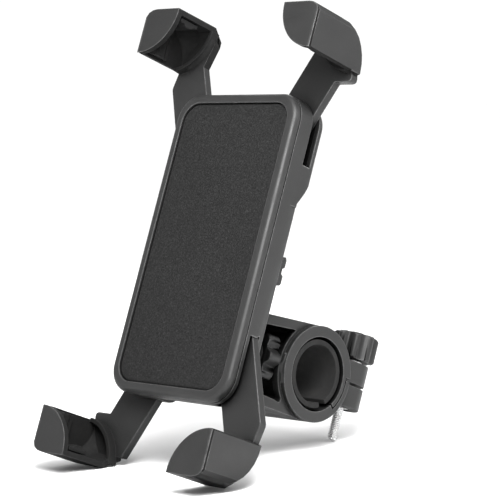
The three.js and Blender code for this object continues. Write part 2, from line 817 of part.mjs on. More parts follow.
// Button with two finger ridges, on a stem through the cover, with the wedge that blocks the arms behind it.
function lockSlider() {
  const { x1, x2, z1, z2, height, groove, wedgeTip } = SLIDER;
  const seat = BODY_DEPTH + GAP;
  const top = seat + height;
  const middle = (z1 + z2) / 2;
  const side = roundedPolygon([
    [seat, z1 + 0.2],
    [top - 0.6, z1, 0.5],
    [top, z1 + 1, 0.4],
    [top, middle - groove, 0.4],
    [seat + height / 2, middle - groove + 0.7, 0.3],
    [seat + height / 2, middle + groove - 0.7, 0.3],
    [top, middle + groove, 0.4],
    [top, z2 - 1, 0.4],
    [top - 0.6, z2, 0.5],
    [seat, z2 - 0.2],
  ]);
  const button = across(side, x1, x2 - 1, 3);
  const right = x2 - 2.3;
  const stem = block(x1 + 1.8, right, REAR_LEVEL + 0.4, seat + 0.6, z1 + 3.1, z2 - 3.1);
  const wedge = polygon([
    [wedgeTip, z1 + 2.6],
    [right, z1 + 2.6],
    [right, z2 - 2.6],
    [wedgeTip + 2.1, z2 - 2.6],
    [wedgeTip, z2 - 6.2],
  ]);
  return union([button, stem, slab(wedge, REAR_LEVEL + 0.1, BODY_DEPTH - WALL - 0.4)]);
}

// ---- Swivel ----

function swivelStud() {
  const head = pin(STUD_HEAD_RADIUS, 0, SWIVEL_Z, STUD_HEAD_FRONT + 0.1, STUD_HEAD_BACK, 6);
  const shank = turned(
    [[0, STUD_HEAD_FRONT + 0.5], [STUD_RADIUS, STUD_HEAD_FRONT + 0.5], [STUD_RADIUS, 40.8],
      [STUD_RADIUS - 0.8, 41.6], [0, 41.6]],
    0,
    SWIVEL_Z,
    28,
  );
  return head.add(shank);
}

function swivelWasher() {
  return turned(
    [[5, SWIVEL_BOSS_BACK + GAP], [11.6, SWIVEL_BOSS_BACK + GAP], [11.6, FLANGE_FRONT - GAP],
      [5, FLANGE_FRONT - GAP], [5, SWIVEL_BOSS_BACK + GAP]],
    0,
    SWIVEL_Z,
    40,
  );
}

// Round plan with scalloped flutes between its lobes, as [angle, radius] by a formula.
function lobedOutline(radius, lobes, depth, steps) {
  const points = [];
  for (let i = 0; i < lobes * steps; i += 1) {
    const angle = (2 * Math.PI * i) / (lobes * steps);
    const wave = Math.abs(Math.sin((lobes * angle) / 2));
    const r = radius - depth * wave ** 2.2;
    points.push([r * Math.cos(angle), r * Math.sin(angle)]);
  }
  return points;
}

const BOSS_BACK = 28.6; // end of the flange's boss inside the yoke
const NUT_HEAD_FRONT = 37.2;
const NUT_HEAD_BACK = BAR_BEHIND_PAD - WINDOW_RADIUS - GAP;

function lockNut() {
  const head = slab(
    polygon(lobedOutline(NUT_RADIUS, NUT_LOBES, 2.6, 8)),
    NUT_HEAD_FRONT,
    NUT_HEAD_BACK,
  );
  const crown = turned(
    [[0, NUT_HEAD_FRONT - 1], [9.8, NUT_HEAD_FRONT - 1], [12, NUT_HEAD_FRONT + 1.4],
      [12, NUT_HEAD_BACK - 1.4], [9.8, NUT_HEAD_BACK + 1], [0, NUT_HEAD_BACK + 1]],
    0,
    0,
    40,
  );
  const hub = turned(
    [[0, BOSS_BACK + GAP], [5.4, BOSS_BACK + GAP], [6.6, NUT_HEAD_FRONT + 0.5],
      [0, NUT_HEAD_FRONT + 0.5]],
    0,
    0,
    32,
  );
  const nut = head
    .intersect(crown)
    .add(hub)
    .subtract(pin(STUD_RADIUS + GAP, 0, 0, 0, NUT_HEAD_BACK + 2, 28));
  return shifted(nut, 0, 0, SWIVEL_Z);
}

// ---- Clamp, drawn about the bar's axis ----

function ringShape(outer, inner) {
  const shape = new THREE.Shape();
  shape.absarc(0, 0, outer, 0, 2 * Math.PI, false);
  const hole = new THREE.Path();
  hole.absarc(0, 0, inner, 0, 2 * Math.PI, true);
  shape.holes.push(hole);
  return shape;
}

// Sector between two radii, angles in degrees from +Y towards +Z.
function sector(inner, outer, from, to) {
  const a = THREE.MathUtils.degToRad(from);
  const b = THREE.MathUtils.degToRad(to);
  const shape = new THREE.Shape();
  shape.absarc(0, 0, outer, a, b, false);
  shape.absarc(0, 0, inner, b, a, true);
  shape.closePath();
  return shape;
}

// Side view of the yoke: a box section that runs tangent to the ring.
function yokeProfile() {
  const flange = FLANGE_FRONT + 1 - BAR_BEHIND_PAD;
  return roundedPolygon([
    [flange, -17.2],
    [-22, -RING_OUTER, 6],
    [0, -RING_OUTER],
    [0, 0],
    [-2.6, RING_OUTER - 0.2],
    [flange, 13.2],
  ]);
}

const WINDOW_TOP = 11; // heights of the windows' front corners
const WINDOW_BOTTOM = -14.8;
const WINDOW_ARC_TOP = 39; // degrees that the rear edge reaches over and under the bar's level
const WINDOW_ARC_BOTTOM = 43;

// Opening between the yoke's webs, its rear edge an arc round the bar.
function windowShape(front, rearRadius, inset, corner, rearTop) {
  const top = Math.PI - THREE.MathUtils.degToRad(WINDOW_ARC_TOP - inset);
  const low = Math.PI + THREE.MathUtils.degToRad(WINDOW_ARC_BOTTOM - inset);
  const high = WINDOW_TOP - inset;
  const floor = WINDOW_BOTTOM + inset;
  const shape = new THREE.Shape();
  const at = (angle) => [rearRadius * Math.cos(angle), rearRadius * Math.sin(angle)];
  const [topY, topZ] = at(top);
  const [lowY, lowZ] = at(low);
  shape.absarc(0, 0, rearRadius, top, low, false);
  shape.quadraticCurveTo(lowY + corner * 0.3, lowZ - corner * 0.9, lowY - corner, floor - 0.6);
  shape.lineTo(front + corner, floor);
  shape.quadraticCurveTo(front, floor, front, floor + corner);
  shape.lineTo(front, high - corner);
  shape.quadraticCurveTo(front, high, front + corner, high);
  shape.lineTo(topY - corner, rearTop);
  shape.quadraticCurveTo(topY + corner * 0.4, topZ + corner * 0.4, topY, topZ);
  return shape;
}

// Plan of the clamp's ears: straight sides out from the ring to a round end at the bolt.
function earPlan(halfWidth) {
  const shape = new THREE.Shape();
  shape.moveTo(-halfWidth, 12);
  shape.lineTo(halfWidth, 12);
  shape.absarc(0, BOLT_BEHIND_BAR, halfWidth, 0, Math.PI, false);
  shape.closePath();
  return shape;
}

function boltHole(radius, from, to, sides = 24) {
  const hole = new THREE.CylinderGeometry(radius, radius, to - from, sides);
  hole.rotateX(Math.PI / 2);
  hole.translate(0, BOLT_BEHIND_BAR, (from + to) / 2);
  return solid(hole);
}

const INSERT_OFFSET = 0.5; // the rubber sleeve seats against the front of the ring
const INSERT_OUTER = 13.1;
const INSERT_HALF_WIDTH = RING_HALF_WIDTH - 0.4;
const TONGUE_RADIUS = 15.9;
const TONGUE_END = -38;
const NUT_ACROSS_CORNERS = 8.1;
const CAPTIVE_NUT_HEIGHT = 3.2;

function clampBracket() {
  const flangeFront = FLANGE_FRONT - BAR_BEHIND_PAD;
  const flangeBack = flangeFront + FLANGE_THICKNESS;
  const ringBore = new THREE.Shape().absarc(0, 0, RING_INNER, 0, 2 * Math.PI, false);
  const yoke = across(yokeProfile(), -YOKE_HALF_WIDTH, YOKE_HALF_WIDTH);
  const hollow = across(
    windowShape(flangeBack, RING_OUTER, 0, 2, 13.4),
    -YOKE_HALF_WIDTH + YOKE_WALL,
    YOKE_HALF_WIDTH - YOKE_WALL,
    10,
  );
  const windows = across(
    windowShape(flangeBack + 2.5, WINDOW_RADIUS, 0.6, 3, 12.6),
    -YOKE_HALF_WIDTH - 1,
    YOKE_HALF_WIDTH + 1,
    10,
  );
  const flange = turned(
    [[0, flangeFront], [FLANGE_RADIUS - 0.8, flangeFront], [FLANGE_RADIUS, flangeFront + 0.8],
      [FLANGE_RADIUS, flangeBack - 1], [FLANGE_RADIUS - 1.6, flangeBack], [0, flangeBack]],
    0,
    0,
    40,
  );
  const boss = pin(6.8, 0, 0, flangeBack - 0.5, BOSS_BACK - BAR_BEHIND_PAD, 28);
  const ring = across(ringShape(RING_OUTER, RING_INNER), -RING_HALF_WIDTH, RING_HALF_WIDTH, 48);
  const upperEar = upright(earPlan(EAR_HALF_WIDTH), SPLIT_HIGH - 2, EAR_TOP);
  const lowerEar = upright(earPlan(EAR_HALF_WIDTH), EAR_BOTTOM, SPLIT_LOW + 0.1);
  const shaped = yoke
    .subtract(hollow)
    .subtract(windows)
    .add(flange)
    .add(boss)
    .add(ring)
    .add(upperEar)
    .add(lowerEar);
  const bore = across(ringBore, -RING_HALF_WIDTH - 1, RING_HALF_WIDTH + 1, 48);
  const width = RING_HALF_WIDTH + 1;
  const split = block(-width, width, 8, 45, SPLIT_LOW, SPLIT_HIGH)
    .subtract(across(sector(0, TONGUE_RADIUS, -60, 60), -width, width));
  const relief = across(sector(TONGUE_RADIUS, TONGUE_RADIUS + 0.5, TONGUE_END - 3, 7), -width, width);
  const relieved = across(sector(13, TONGUE_RADIUS + 0.5, TONGUE_END - 3, TONGUE_END), -width, width);
  const nutPocket = boltHole(
    NUT_ACROSS_CORNERS / 2 + GAP,
    EAR_BOTTOM - 2,
    EAR_BOTTOM + CAPTIVE_NUT_HEIGHT + GAP,
    6,
  );
  return shaped
    .subtract(bore)
    .subtract(union([split, relief, relieved]))
    .subtract(boltHole(BOLT_RADIUS + GAP, -25, 25))
    .subtract(nutPocket)
    .subtract(pin(STUD_RADIUS + GAP, 0, 0, flangeFront - 2, -20, 28));
}

// C-shaped rubber sleeve, open at its lower rear so that it goes over the bar.
function rubberInsert() {
  const inner = BAR_DIAMETER / 2;
  const wall = sector(inner, INSERT_OUTER, -48, 297);
  const sleeve = across(wall, -INSERT_HALF_WIDTH, INSERT_HALF_WIDTH, 44);
  return shifted(sleeve, 0, -INSERT_OFFSET, 0);
}

function clampBolt() {
  const shank = boltHole(BOLT_RADIUS, BOLT_TIP, KNOB_BOTTOM + KNOB_HEIGHT - 2.6, 20);
  const head = boltHole(NUT_ACROSS_CORNERS / 2, KNOB_BOTTOM + KNOB_HEIGHT - 3.6,
    KNOB_BOTTOM + KNOB_HEIGHT - 0.8, 6);
  return shank.add(head);
}

const WASHER_THICKNESS = 0.8;
const KNOB_BOTTOM = EAR_TOP + WASHER_THICKNESS + 2 * GAP;

function clampKnob() {
  const outline = polygon(lobedOutline(KNOB_RADIUS, KNOB_LOBES, 1.9, 8));
  const fluted = upright(outline, 0, KNOB_HEIGHT);
  const profile = [[0, 0], [KNOB_RADIUS - 0.7, 0], [KNOB_RADIUS + 0.1, 0.8],
    [KNOB_RADIUS + 0.1, KNOB_HEIGHT - 1], [KNOB_RADIUS - 1, KNOB_HEIGHT], [0, KNOB_HEIGHT]];
  const barrel = new THREE.LatheGeometry(profile.map(([r, z]) => new THREE.Vector2(r, z)), 40);
  barrel.rotateX(Math.PI / 2);
  return shifted(fluted.intersect(solid(barrel)), 0, BOLT_BEHIND_BAR, KNOB_BOTTOM)
    .subtract(boltHole(BOLT_RADIUS + GAP, 0, 40))
    .subtract(boltHole(NUT_ACROSS_CORNERS / 2 + GAP, KNOB_BOTTOM + KNOB_HEIGHT - 3.6 - GAP, 40, 6));
}

function clampWasher() {
  const low = EAR_TOP + GAP;
  return boltHole(4.6, low, low + WASHER_THICKNESS)
    .subtract(boltHole(BOLT_RADIUS + GAP, low - 1, low + 2));
}

function captiveNut() {
  return boltHole(NUT_ACROSS_CORNERS / 2, EAR_BOTTOM + 0.2, EAR_BOTTOM + CAPTIVE_NUT_HEIGHT, 6)
    .subtract(boltHole(BOLT_RADIUS + GAP, EAR_BOTTOM - 1, EAR_BOTTOM + 6));
}

// ---- Assembly ----

const shellBlack = plastic(0x4a4a4b);
const armBlack = plastic(0x48484a);

// The leaning frame that everything is drawn in.
const leaning = new THREE.Group();
leaning.rotation.x = -LEAN;

// Holder, drawn about the middle of the pad.
const holder = new THREE.Group();
holder.position.set(0, -BAR_BEHIND_PAD, BAR_BELOW_MIDDLE);
holder.add(piece("front_shell", frontShell(), shellBlack));
holder.add(piece("grip_pad", gripPad(), rubber(0x3c3c3d)));
holder.add(piece("back_cover", backCover(), shellBlack));
SCREWS.forEach((place, i) => {
  holder.add(piece("cover_screw_" + (i + 1), coverScrew(place), steel()));
});
holder.add(piece("pinion_gear", pinion(), plastic(0xd8d6cf)));
holder.add(piece("pinion_pin", pinionPin(), steel()));
holder.add(piece("lock_slider", lockSlider(), armBlack));
holder.add(piece("swivel_stud", swivelStud(), steel()));
holder.add(piece("swivel_washer", swivelWasher(), rubber(0x2c2c2c)));
holder.add(piece("swivel_lock_nut", lockNut(), armBlack));

// Rear arms cross from lower left to upper right, front arms the other way.
const ARMS = [
  { name: "upper_right", rear: true, turn: 0 },
  { name: "lower_left", rear: true, turn: Math.PI },
  { name: "lower_right", rear: false, turn: 0 },
  { name: "upper_left", rear: false, turn: Math.PI },
];
for (const { name, rear, turn } of ARMS) {
  const corner = new THREE.Group();
  corner.rotation.y = turn;
  const arm = piece("arm_" + name, hookedArm(rear), armBlack);
  const pad = piece("claw_pad_" + name, clawPad(rear ? REAR_LEVEL : FRONT_LEVEL), rubber(0x303030));
  if (!rear) {
    arm.scale.z = -1;
    pad.scale.z = -1;
  }
  corner.add(arm);
  corner.add(pad);
  holder.add(corner);
}
leaning.add(holder);

// Clamp, drawn about the bar's axis.
leaning.add(piece("clamp_bracket", clampBracket(), armBlack));
leaning.add(piece("rubber_insert", rubberInsert(), rubber(0x5a5a5a)));
leaning.add(piece("clamp_bolt", clampBolt(), steel()));
leaning.add(piece("clamp_knob", clampKnob(), armBlack));
leaning.add(piece("clamp_washer", clampWasher(), steel()));
leaning.add(piece("captive_nut", captiveNut(), steel()));

const group = new THREE.Group();
group.add(leaning);

export default group;
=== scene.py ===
"""Looks of a handlebar phone mount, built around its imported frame.

The frame holds every piece at its real size and place. This script gives each piece its moulded
edges, its finer details and its finish, and sets up the studio. Sizes are in millimetres where a
name or docstring says so, and MM turns them into the metres that the scene is in.
"""

import logging
import math
from dataclasses import dataclass, field
from enum import Enum
from typing import Callable, Iterable, Sequence, Union

import bmesh
import bpy
from mathutils import Matrix, Vector


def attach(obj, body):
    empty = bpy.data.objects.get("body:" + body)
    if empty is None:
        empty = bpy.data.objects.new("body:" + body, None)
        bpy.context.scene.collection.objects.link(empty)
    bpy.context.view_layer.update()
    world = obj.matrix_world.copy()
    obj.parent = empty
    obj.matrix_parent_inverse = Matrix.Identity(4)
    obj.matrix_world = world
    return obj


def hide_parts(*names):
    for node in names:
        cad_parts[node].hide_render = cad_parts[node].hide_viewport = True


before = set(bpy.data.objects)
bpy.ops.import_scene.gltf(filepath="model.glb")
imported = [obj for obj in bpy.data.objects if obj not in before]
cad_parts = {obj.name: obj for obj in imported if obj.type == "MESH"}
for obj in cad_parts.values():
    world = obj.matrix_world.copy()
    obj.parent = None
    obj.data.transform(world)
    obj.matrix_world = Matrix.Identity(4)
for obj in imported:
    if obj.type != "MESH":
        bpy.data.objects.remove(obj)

LOG = logging.getLogger("phone_mount")
MM = 0.001
LEAN = math.radians(21.7)
BAR_BEHIND_PAD = 63.5
BAR_BELOW_MIDDLE = 32.0
TOUCHING = 1e-7  # metres
TINY_SQUARE = 1e-18  # square metres, keeps a division from zero
NOISE_LOW = 0.3  # the stretch that a noise mostly keeps to
NOISE_HIGH = 0.7
BEVEL_SAMPLES = 6
FULL_EDGE = 0.12  # bend of the surface that counts as a full edge
HOLLOW_SAMPLES = 8
DEEP_AIR = 0.3  # open share of the sky in the deepest recess
OPEN_AIR = 0.85  # and where a surface counts as open

Span = tuple[tuple[float, float, float], tuple[float, float, float]]
Colour = tuple[float, float, float]
Paint = Union[Colour, bpy.types.NodeSocket]


class Slot(Enum):
    """Material slots of the record that the pieces take their finish from."""

    SHELL = "shell_plastic"
    ARM = "arm_plastic"
    FOAM = "pad_foam"
    SLEEVE = "sleeve_rubber"
    RUBBER = "dark_rubber"
    GEAR = "gear_plastic"
    STEEL = "steel"


class Corner(Enum):
    """Corners of the holder, with the signs of their x and z."""

    UPPER_RIGHT = (1, 1)
    LOWER_LEFT = (-1, -1)
    LOWER_RIGHT = (1, -1)
    UPPER_LEFT = (-1, 1)

    @property
    def label(self) -> str:
        """Name of the corner as the frame's nodes spell it."""
        return self.name.lower()


# ---- Frames of reference ----


def clamp_point(x: float, y: float, z: float) -> Vector:
    """Place of a point given in the leaning frame about the bar.

    Args:
        x: Millimetres along the bar.
        y: Millimetres backwards, square to the pad.
        z: Millimetres up along the pad.

    Returns:
        The point in the row frame, in metres.
    """
    sin, cos = math.sin(LEAN), math.cos(LEAN)
    return Vector((x, y * cos + z * sin, -y * sin + z * cos)) * MM


def holder_point(x: float, depth: float, z: float) -> Vector:
    """Place of a point given about the middle of the pad's face.

    Args:
        x: Millimetres to the right.
        depth: Millimetres behind the pad's face.
        z: Millimetres up along the pad.

    Returns:
        The point in the row frame, in metres.
    """
    return clamp_point(x, depth - BAR_BEHIND_PAD, z + BAR_BELOW_MIDDLE)


def holder_place(point: Sequence[float]) -> tuple[float, float, float]:
    """Place of a point about the middle of the pad's face.

    Args:
        point: The point in the row frame, in metres.

    Returns:
        Millimetres to the right, behind the pad's face and up along the pad.
    """
    sin, cos = math.sin(LEAN), math.cos(LEAN)
    x, y, z = (value / MM for value in point)
    return (x, y * cos - z * sin + BAR_BEHIND_PAD, y * sin + z * cos - BAR_BELOW_MIDDLE)


# ---- Finishes ----


def set_range(node: bpy.types.Node, low: float, high: float, at_low: float, at_high: float) -> None:
    """Sets which stretch of values a map range node maps, and onto what."""
    node.inputs["From Min"].default_value = low
    node.inputs["From Max"].default_value = high
    node.inputs["To Min"].default_value = at_low
    node.inputs["To Max"].default_value = at_high


class NodeSheet:
    """A material's node tree, with short calls to add and join its nodes."""

    def __init__(self, name: str) -> None:
        """Starts an empty material.

        Args:
            name: Name of the material.
        """
        self.material = bpy.data.materials.new(name)
        self.material.use_nodes = True
        self.tree = self.material.node_tree
        self.shader = self.tree.nodes["Principled BSDF"]
        self.place = self.add("ShaderNodeTexCoord").outputs["Object"]

    def add(self, kind: str, **settings: object) -> bpy.types.Node:
        """Adds a node.

        Args:
            kind: Blender's type name of the node.
            **settings: Properties to set on it.

        Returns:
            The node.
        """
        node = self.tree.nodes.new(kind)
        for key, value in settings.items():
            setattr(node, key, value)
        return node

    def join(self, out: bpy.types.NodeSocket, into: bpy.types.NodeSocket) -> None:
        """Links one socket to another."""
        self.tree.links.new(out, into)

    def noise(
        self, scale: float, detail: float = 2.0, stretch: Sequence[float] = (1, 1, 1)
    ) -> bpy.types.NodeSocket:
        """Noise over the piece.

        Args:
            scale: Cells per metre.
            detail: Octaves.
            stretch: Factors on the three axes.

        Returns:
            The socket with the noise's value.
        """
        mapping = self.add("ShaderNodeMapping")
        mapping.inputs["Scale"].default_value = stretch
        self.join(self.place, mapping.inputs["Vector"])
        node = self.add("ShaderNodeTexNoise")
        node.inputs["Scale"].default_value = scale
        node.inputs["Detail"].default_value = detail
        self.join(mapping.outputs["Vector"], node.inputs["Vector"])
        return node.outputs["Fac"]

    def ramp(
        self, value: bpy.types.NodeSocket, low: float, high: float, at_low: float, at_high: float
    ) -> bpy.types.NodeSocket:
        """Maps a stretch of values onto another, held within it.

        Args:
            value: Socket to map.
            low: Value that gives at_low.
            high: Value that gives at_high.
            at_low: Result at low.
            at_high: Result at high.

        Returns:
            The mapped socket.
        """
        node = self.add("ShaderNodeMapRange")
        set_range(node, low, high, at_low, at_high)
        self.join(value, node.inputs["Value"])
        return node.outputs["Result"]

    def mixed(self, share: bpy.types.NodeSocket, low: Paint, high: Colour) -> bpy.types.NodeSocket:
        """Mixes two colours by a share.

        Args:
            share: Socket from 0 to 1.
            low: Colour at 0, or the socket that holds it.
            high: Colour at 1.

        Returns:
            The mixed colour's socket.
        """
        node = self.add("ShaderNodeMix", data_type="RGBA")
        self.join(share, node.inputs["Factor"])
        if isinstance(low, bpy.types.NodeSocket):
            self.join(low, node.inputs["A"])
        else:
            node.inputs["A"].default_value = (*low, 1)
        node.inputs["B"].default_value = (*high, 1)
        return node.outputs["Result"]

    def edges(self, radius: float) -> bpy.types.NodeSocket:
        """Share of how close a point is to an outer edge of its piece.

        Args:
            radius: How far from the edge it fades out, in metres.

        Returns:
            A socket from 0 on flats to 1 on edges.
        """
        soft = self.add("ShaderNodeBevel", samples=BEVEL_SAMPLES)
        soft.inputs["Radius"].default_value = radius
        true = self.add("ShaderNodeNewGeometry").outputs["Normal"]
        dot = self.add("ShaderNodeVectorMath", operation="DOT_PRODUCT")
        self.join(soft.outputs["Normal"], dot.inputs[0])
        self.join(true, dot.inputs[1])
        return self.ramp(dot.outputs["Value"], 1.0 - FULL_EDGE, 1.0, 1.0, 0.0)

    def hollows(self, reach: float) -> bpy.types.NodeSocket:
        """Share of how deep a point lies in a recess.

        Args:
            reach: How far off a wall still counts, in metres.

        Returns:
            A socket from 0 in the open to 1 in corners.
        """
        open_air = self.add("ShaderNodeAmbientOcclusion", samples=HOLLOW_SAMPLES)
        open_air.inputs["Distance"].default_value = reach
        return self.ramp(open_air.outputs["AO"], DEEP_AIR, OPEN_AIR, 1.0, 0.0)

    def bumps(self, *layers: tuple[bpy.types.NodeSocket, float, float]) -> None:
        """Puts bump layers on the shader, one on another.

        Args:
            *layers: Each a height socket, its strength, and its depth in metres.
        """
        below: bpy.types.NodeSocket | None = None
        for height, strength, depth in layers:
            bump = self.add("ShaderNodeBump")
            bump.inputs["Strength"].default_value = strength
            bump.inputs["Distance"].default_value = depth
            self.join(height, bump.inputs["Height"])
            if below is not None:
                self.join(below, bump.inputs["Normal"])
            below = bump.outputs["Normal"]
        if below is not None:
            self.join(below, self.shader.inputs["Normal"])


def grey(value: float, warmth: float = 0.0) -> Colour:
    """A near-neutral grey.

    Args:
        value: Its linear brightness.
        warmth: Share by which red is over blue.

    Returns:
        The colour.
    """
    return (value * (1 + warmth), value, value * (1 - warmth))


@dataclass(frozen=True)
class MouldedPlastic:
    """Black nylon-filled plastic with a spark-eroded satin texture, a painted highlight along its edges and
    painted shade in its recesses.
    """

    name: str
    tone: float
    roughness: float
    shine: float = 0.24
    clouds_per_metre: float = 55.0
    flecks_per_metre: float = 2080.0
    fleck_tone: float = 1.5
    grain_per_metre: float = 5200.0
    grain_depth: float = 0.00004
    waves_per_metre: float = 130.0
    wave_depth: float = 0.0003
    smears_per_metre: float = 240.0
    edge_highlight_tone: float = 6.5
    edge_width: float = 0.0006
    highlight_breaks_per_metre: float = 700.0
    painted_shade_reach: float = 0.018
    painted_shade_tone: float = 0.15
    painted_shade_shine: float = 0.02

    def material(self) -> bpy.types.Material:
        """Builds the finish.

        Returns:
            The material.
        """
        sheet = NodeSheet(self.name)
        cloud = sheet.ramp(sheet.noise(self.clouds_per_metre, 4.0), NOISE_LOW, NOISE_HIGH, 0.0, 1.0)
        base = sheet.mixed(cloud, grey(self.tone * 0.9), grey(self.tone * 1.1))
        fleck = sheet.ramp(sheet.noise(self.flecks_per_metre), 0.55, 0.75, 0.0, 0.35)
        flecked = sheet.mixed(fleck, base, grey(self.tone * self.fleck_tone))
        # Painted highlight: the base colour lightens along the outer edges, broken up by noise.
        highlight_breaks = sheet.ramp(sheet.noise(self.highlight_breaks_per_metre, 3.0), 0.35, 0.65, 0.35, 1.0)
        edge = sheet.add("ShaderNodeMath", operation="MULTIPLY")
        sheet.join(sheet.edges(self.edge_width), edge.inputs[0])
        sheet.join(highlight_breaks, edge.inputs[1])
        highlit_edges = sheet.mixed(edge.outputs["Value"], flecked, grey(self.tone * self.edge_highlight_tone))
        # Painted shade: the base colour darkens and the shine drops in recesses, from an ambient occlusion
        # share.
        hollow = sheet.hollows(self.painted_shade_reach)
        with_painted_shade = sheet.mixed(hollow, highlit_edges, grey(self.tone * self.painted_shade_tone))
        sheet.join(with_painted_shade, sheet.shader.inputs["Base Color"])
        smears = sheet.noise(self.smears_per_metre, 4.0)
        rough = sheet.ramp(smears, NOISE_LOW, NOISE_HIGH, self.roughness - 0.05, self.roughness + 0.07)
        sheet.join(rough, sheet.shader.inputs["Roughness"])
        shine = sheet.ramp(hollow, 0.0, 1.0, self.shine, self.painted_shade_shine)
        sheet.join(shine, sheet.shader.inputs["Specular IOR Level"])
        sheet.bumps(
            (sheet.noise(self.grain_per_metre), 0.35, self.grain_depth),
            (sheet.noise(self.waves_per_metre), 0.12, self.wave_depth),
        )
        return sheet.material


@dataclass(frozen=True)
class SpeckledFoam:
    """Closed-cell foam sheet with a skin of small pale and dark cells."""

    name: str
    tone: float = 0.006
    pale_tone: float = 2.6
    dark_tone: float = 0.2
    cells_per_metre: float = 1800.0
    cell_depth: float = 0.00012
    clouds_per_metre: float = 38.0
    ripples_per_metre: float = 600.0
    ripple_depth: float = 0.0002
    dull_per_metre: float = 900.0
    shine: float = 0.16
    sheen: float = 0.02

    def material(self) -> bpy.types.Material:
        """Builds the finish.

        Returns:
            The material.
        """
        sheet = NodeSheet(self.name)
        cloud = sheet.ramp(sheet.noise(self.clouds_per_metre, 5.0), NOISE_LOW, NOISE_HIGH, 0.0, 1.0)
        base = sheet.mixed(cloud, grey(self.tone * 0.92), grey(self.tone * 1.1))
        cells = sheet.noise(self.cells_per_metre)
        raised = sheet.ramp(cells, 0.52, 0.68, 0.0, 0.9)
        pale = sheet.mixed(raised, base, grey(self.tone * self.pale_tone))
        sunken = sheet.ramp(cells, 0.32, 0.48, 0.9, 0.0)
        dark = sheet.mixed(sunken, pale, grey(self.tone * self.dark_tone))
        sheet.join(dark, sheet.shader.inputs["Base Color"])
        rough = sheet.ramp(sheet.noise(self.dull_per_metre), NOISE_LOW, NOISE_HIGH, 0.72, 0.92)
        sheet.join(rough, sheet.shader.inputs["Roughness"])
        sheet.shader.inputs["Specular IOR Level"].default_value = self.shine
        sheet.shader.inputs["Sheen Weight"].default_value = self.sheen
        sheet.bumps(
            (cells, 0.5, self.cell_depth),
            (sheet.noise(self.ripples_per_metre, 3.0), 0.25, self.ripple_depth),
        )
        return sheet.material


@dataclass(frozen=True)
class Rubber:
    """Moulded rubber, matte, with a bloom of dust in its texture."""

    name: str
    tone: float
    roughness: float = 0.78
    shine: float = 0.15
    bloom_per_metre: float = 90.0
    edge_width: float = 0.0004
    edge_highlight_tone: float = 1.7
    dull_per_metre: float = 400.0
    grain_per_metre: float = 3000.0
    grain_depth: float = 0.00006

    def material(self) -> bpy.types.Material:
        """Builds the finish.

        Returns:
            The material.
        """
        sheet = NodeSheet(self.name)
        bloom = sheet.ramp(sheet.noise(self.bloom_per_metre, 5.0), 0.35, 0.7, 0.0, 1.0)
        base = sheet.mixed(bloom, grey(self.tone * 0.85), grey(self.tone * 1.25, 0.02))
        # Painted highlight: the base colour lightens along the outer edges.
        highlit_edges = sheet.mixed(sheet.edges(self.edge_width), base, grey(self.tone * self.edge_highlight_tone))
        sheet.join(highlit_edges, sheet.shader.inputs["Base Color"])
        dull = sheet.noise(self.dull_per_metre, 3.0)
        rough = sheet.ramp(dull, NOISE_LOW, NOISE_HIGH, self.roughness - 0.08, self.roughness + 0.08)
        sheet.join(rough, sheet.shader.inputs["Roughness"])
        sheet.shader.inputs["Specular IOR Level"].default_value = self.shine
        sheet.bumps((sheet.noise(self.grain_per_metre), 0.3, self.grain_depth))
        return sheet.material


@dataclass(frozen=True)
class ZincSteel:
    """Zinc-plated steel with fine drawing lines and a mottled brightness."""

    name: str
    tone: float = 0.62
    roughness: float = 0.27
    mottles_per_metre: float = 420.0
    haze_per_metre: float = 1500.0
    lines_per_metre: float = 900.0
    line_stretch: tuple[float, float, float] = (1.0, 1.0, 9.0)
    line_depth: float = 0.00003

    def material(self) -> bpy.types.Material:
        """Builds the finish.

        Returns:
            The material.
        """
        sheet = NodeSheet(self.name)
        mottle = sheet.ramp(sheet.noise(self.mottles_per_metre, 4.0), NOISE_LOW, NOISE_HIGH, 0.0, 1.0)
        base = sheet.mixed(mottle, grey(self.tone * 0.86, 0.01), grey(self.tone * 1.08, -0.01))
        sheet.join(base, sheet.shader.inputs["Base Color"])
        haze = sheet.noise(self.haze_per_metre, 3.0)
        rough = sheet.ramp(haze, NOISE_LOW, NOISE_HIGH, self.roughness - 0.07, self.roughness + 0.1)
        sheet.join(rough, sheet.shader.inputs["Roughness"])
        sheet.shader.inputs["Metallic"].default_value = 1.0
        lines = sheet.noise(self.lines_per_metre, 2.0, self.line_stretch)
        sheet.bumps((lines, 0.08, self.line_depth))
        return sheet.material


@dataclass(frozen=True)
class Nylon:
    """Natural nylon, milky, with grease in its pores."""

    name: str
    tone: float = 0.62
    grease_tone: float = 0.72
    pores_per_metre: float = 300.0
    dull_per_metre: float = 900.0
    grain_per_metre: float = 2500.0
    grain_depth: float = 0.00005

    def material(self) -> bpy.types.Material:
        """Builds the finish.

        Returns:
            The material.
        """
        sheet = NodeSheet(self.name)
        grease = sheet.ramp(sheet.noise(self.pores_per_metre, 4.0), 0.4, 0.7, 0.0, 1.0)
        base = sheet.mixed(grease, grey(self.tone, 0.05), grey(self.tone * self.grease_tone, 0.1))
        sheet.join(base, sheet.shader.inputs["Base Color"])
        rough = sheet.ramp(sheet.noise(self.dull_per_metre), NOISE_LOW, NOISE_HIGH, 0.35, 0.55)
        sheet.join(rough, sheet.shader.inputs["Roughness"])
        sheet.bumps((sheet.noise(self.grain_per_metre), 0.2, self.grain_depth))
        return sheet.material


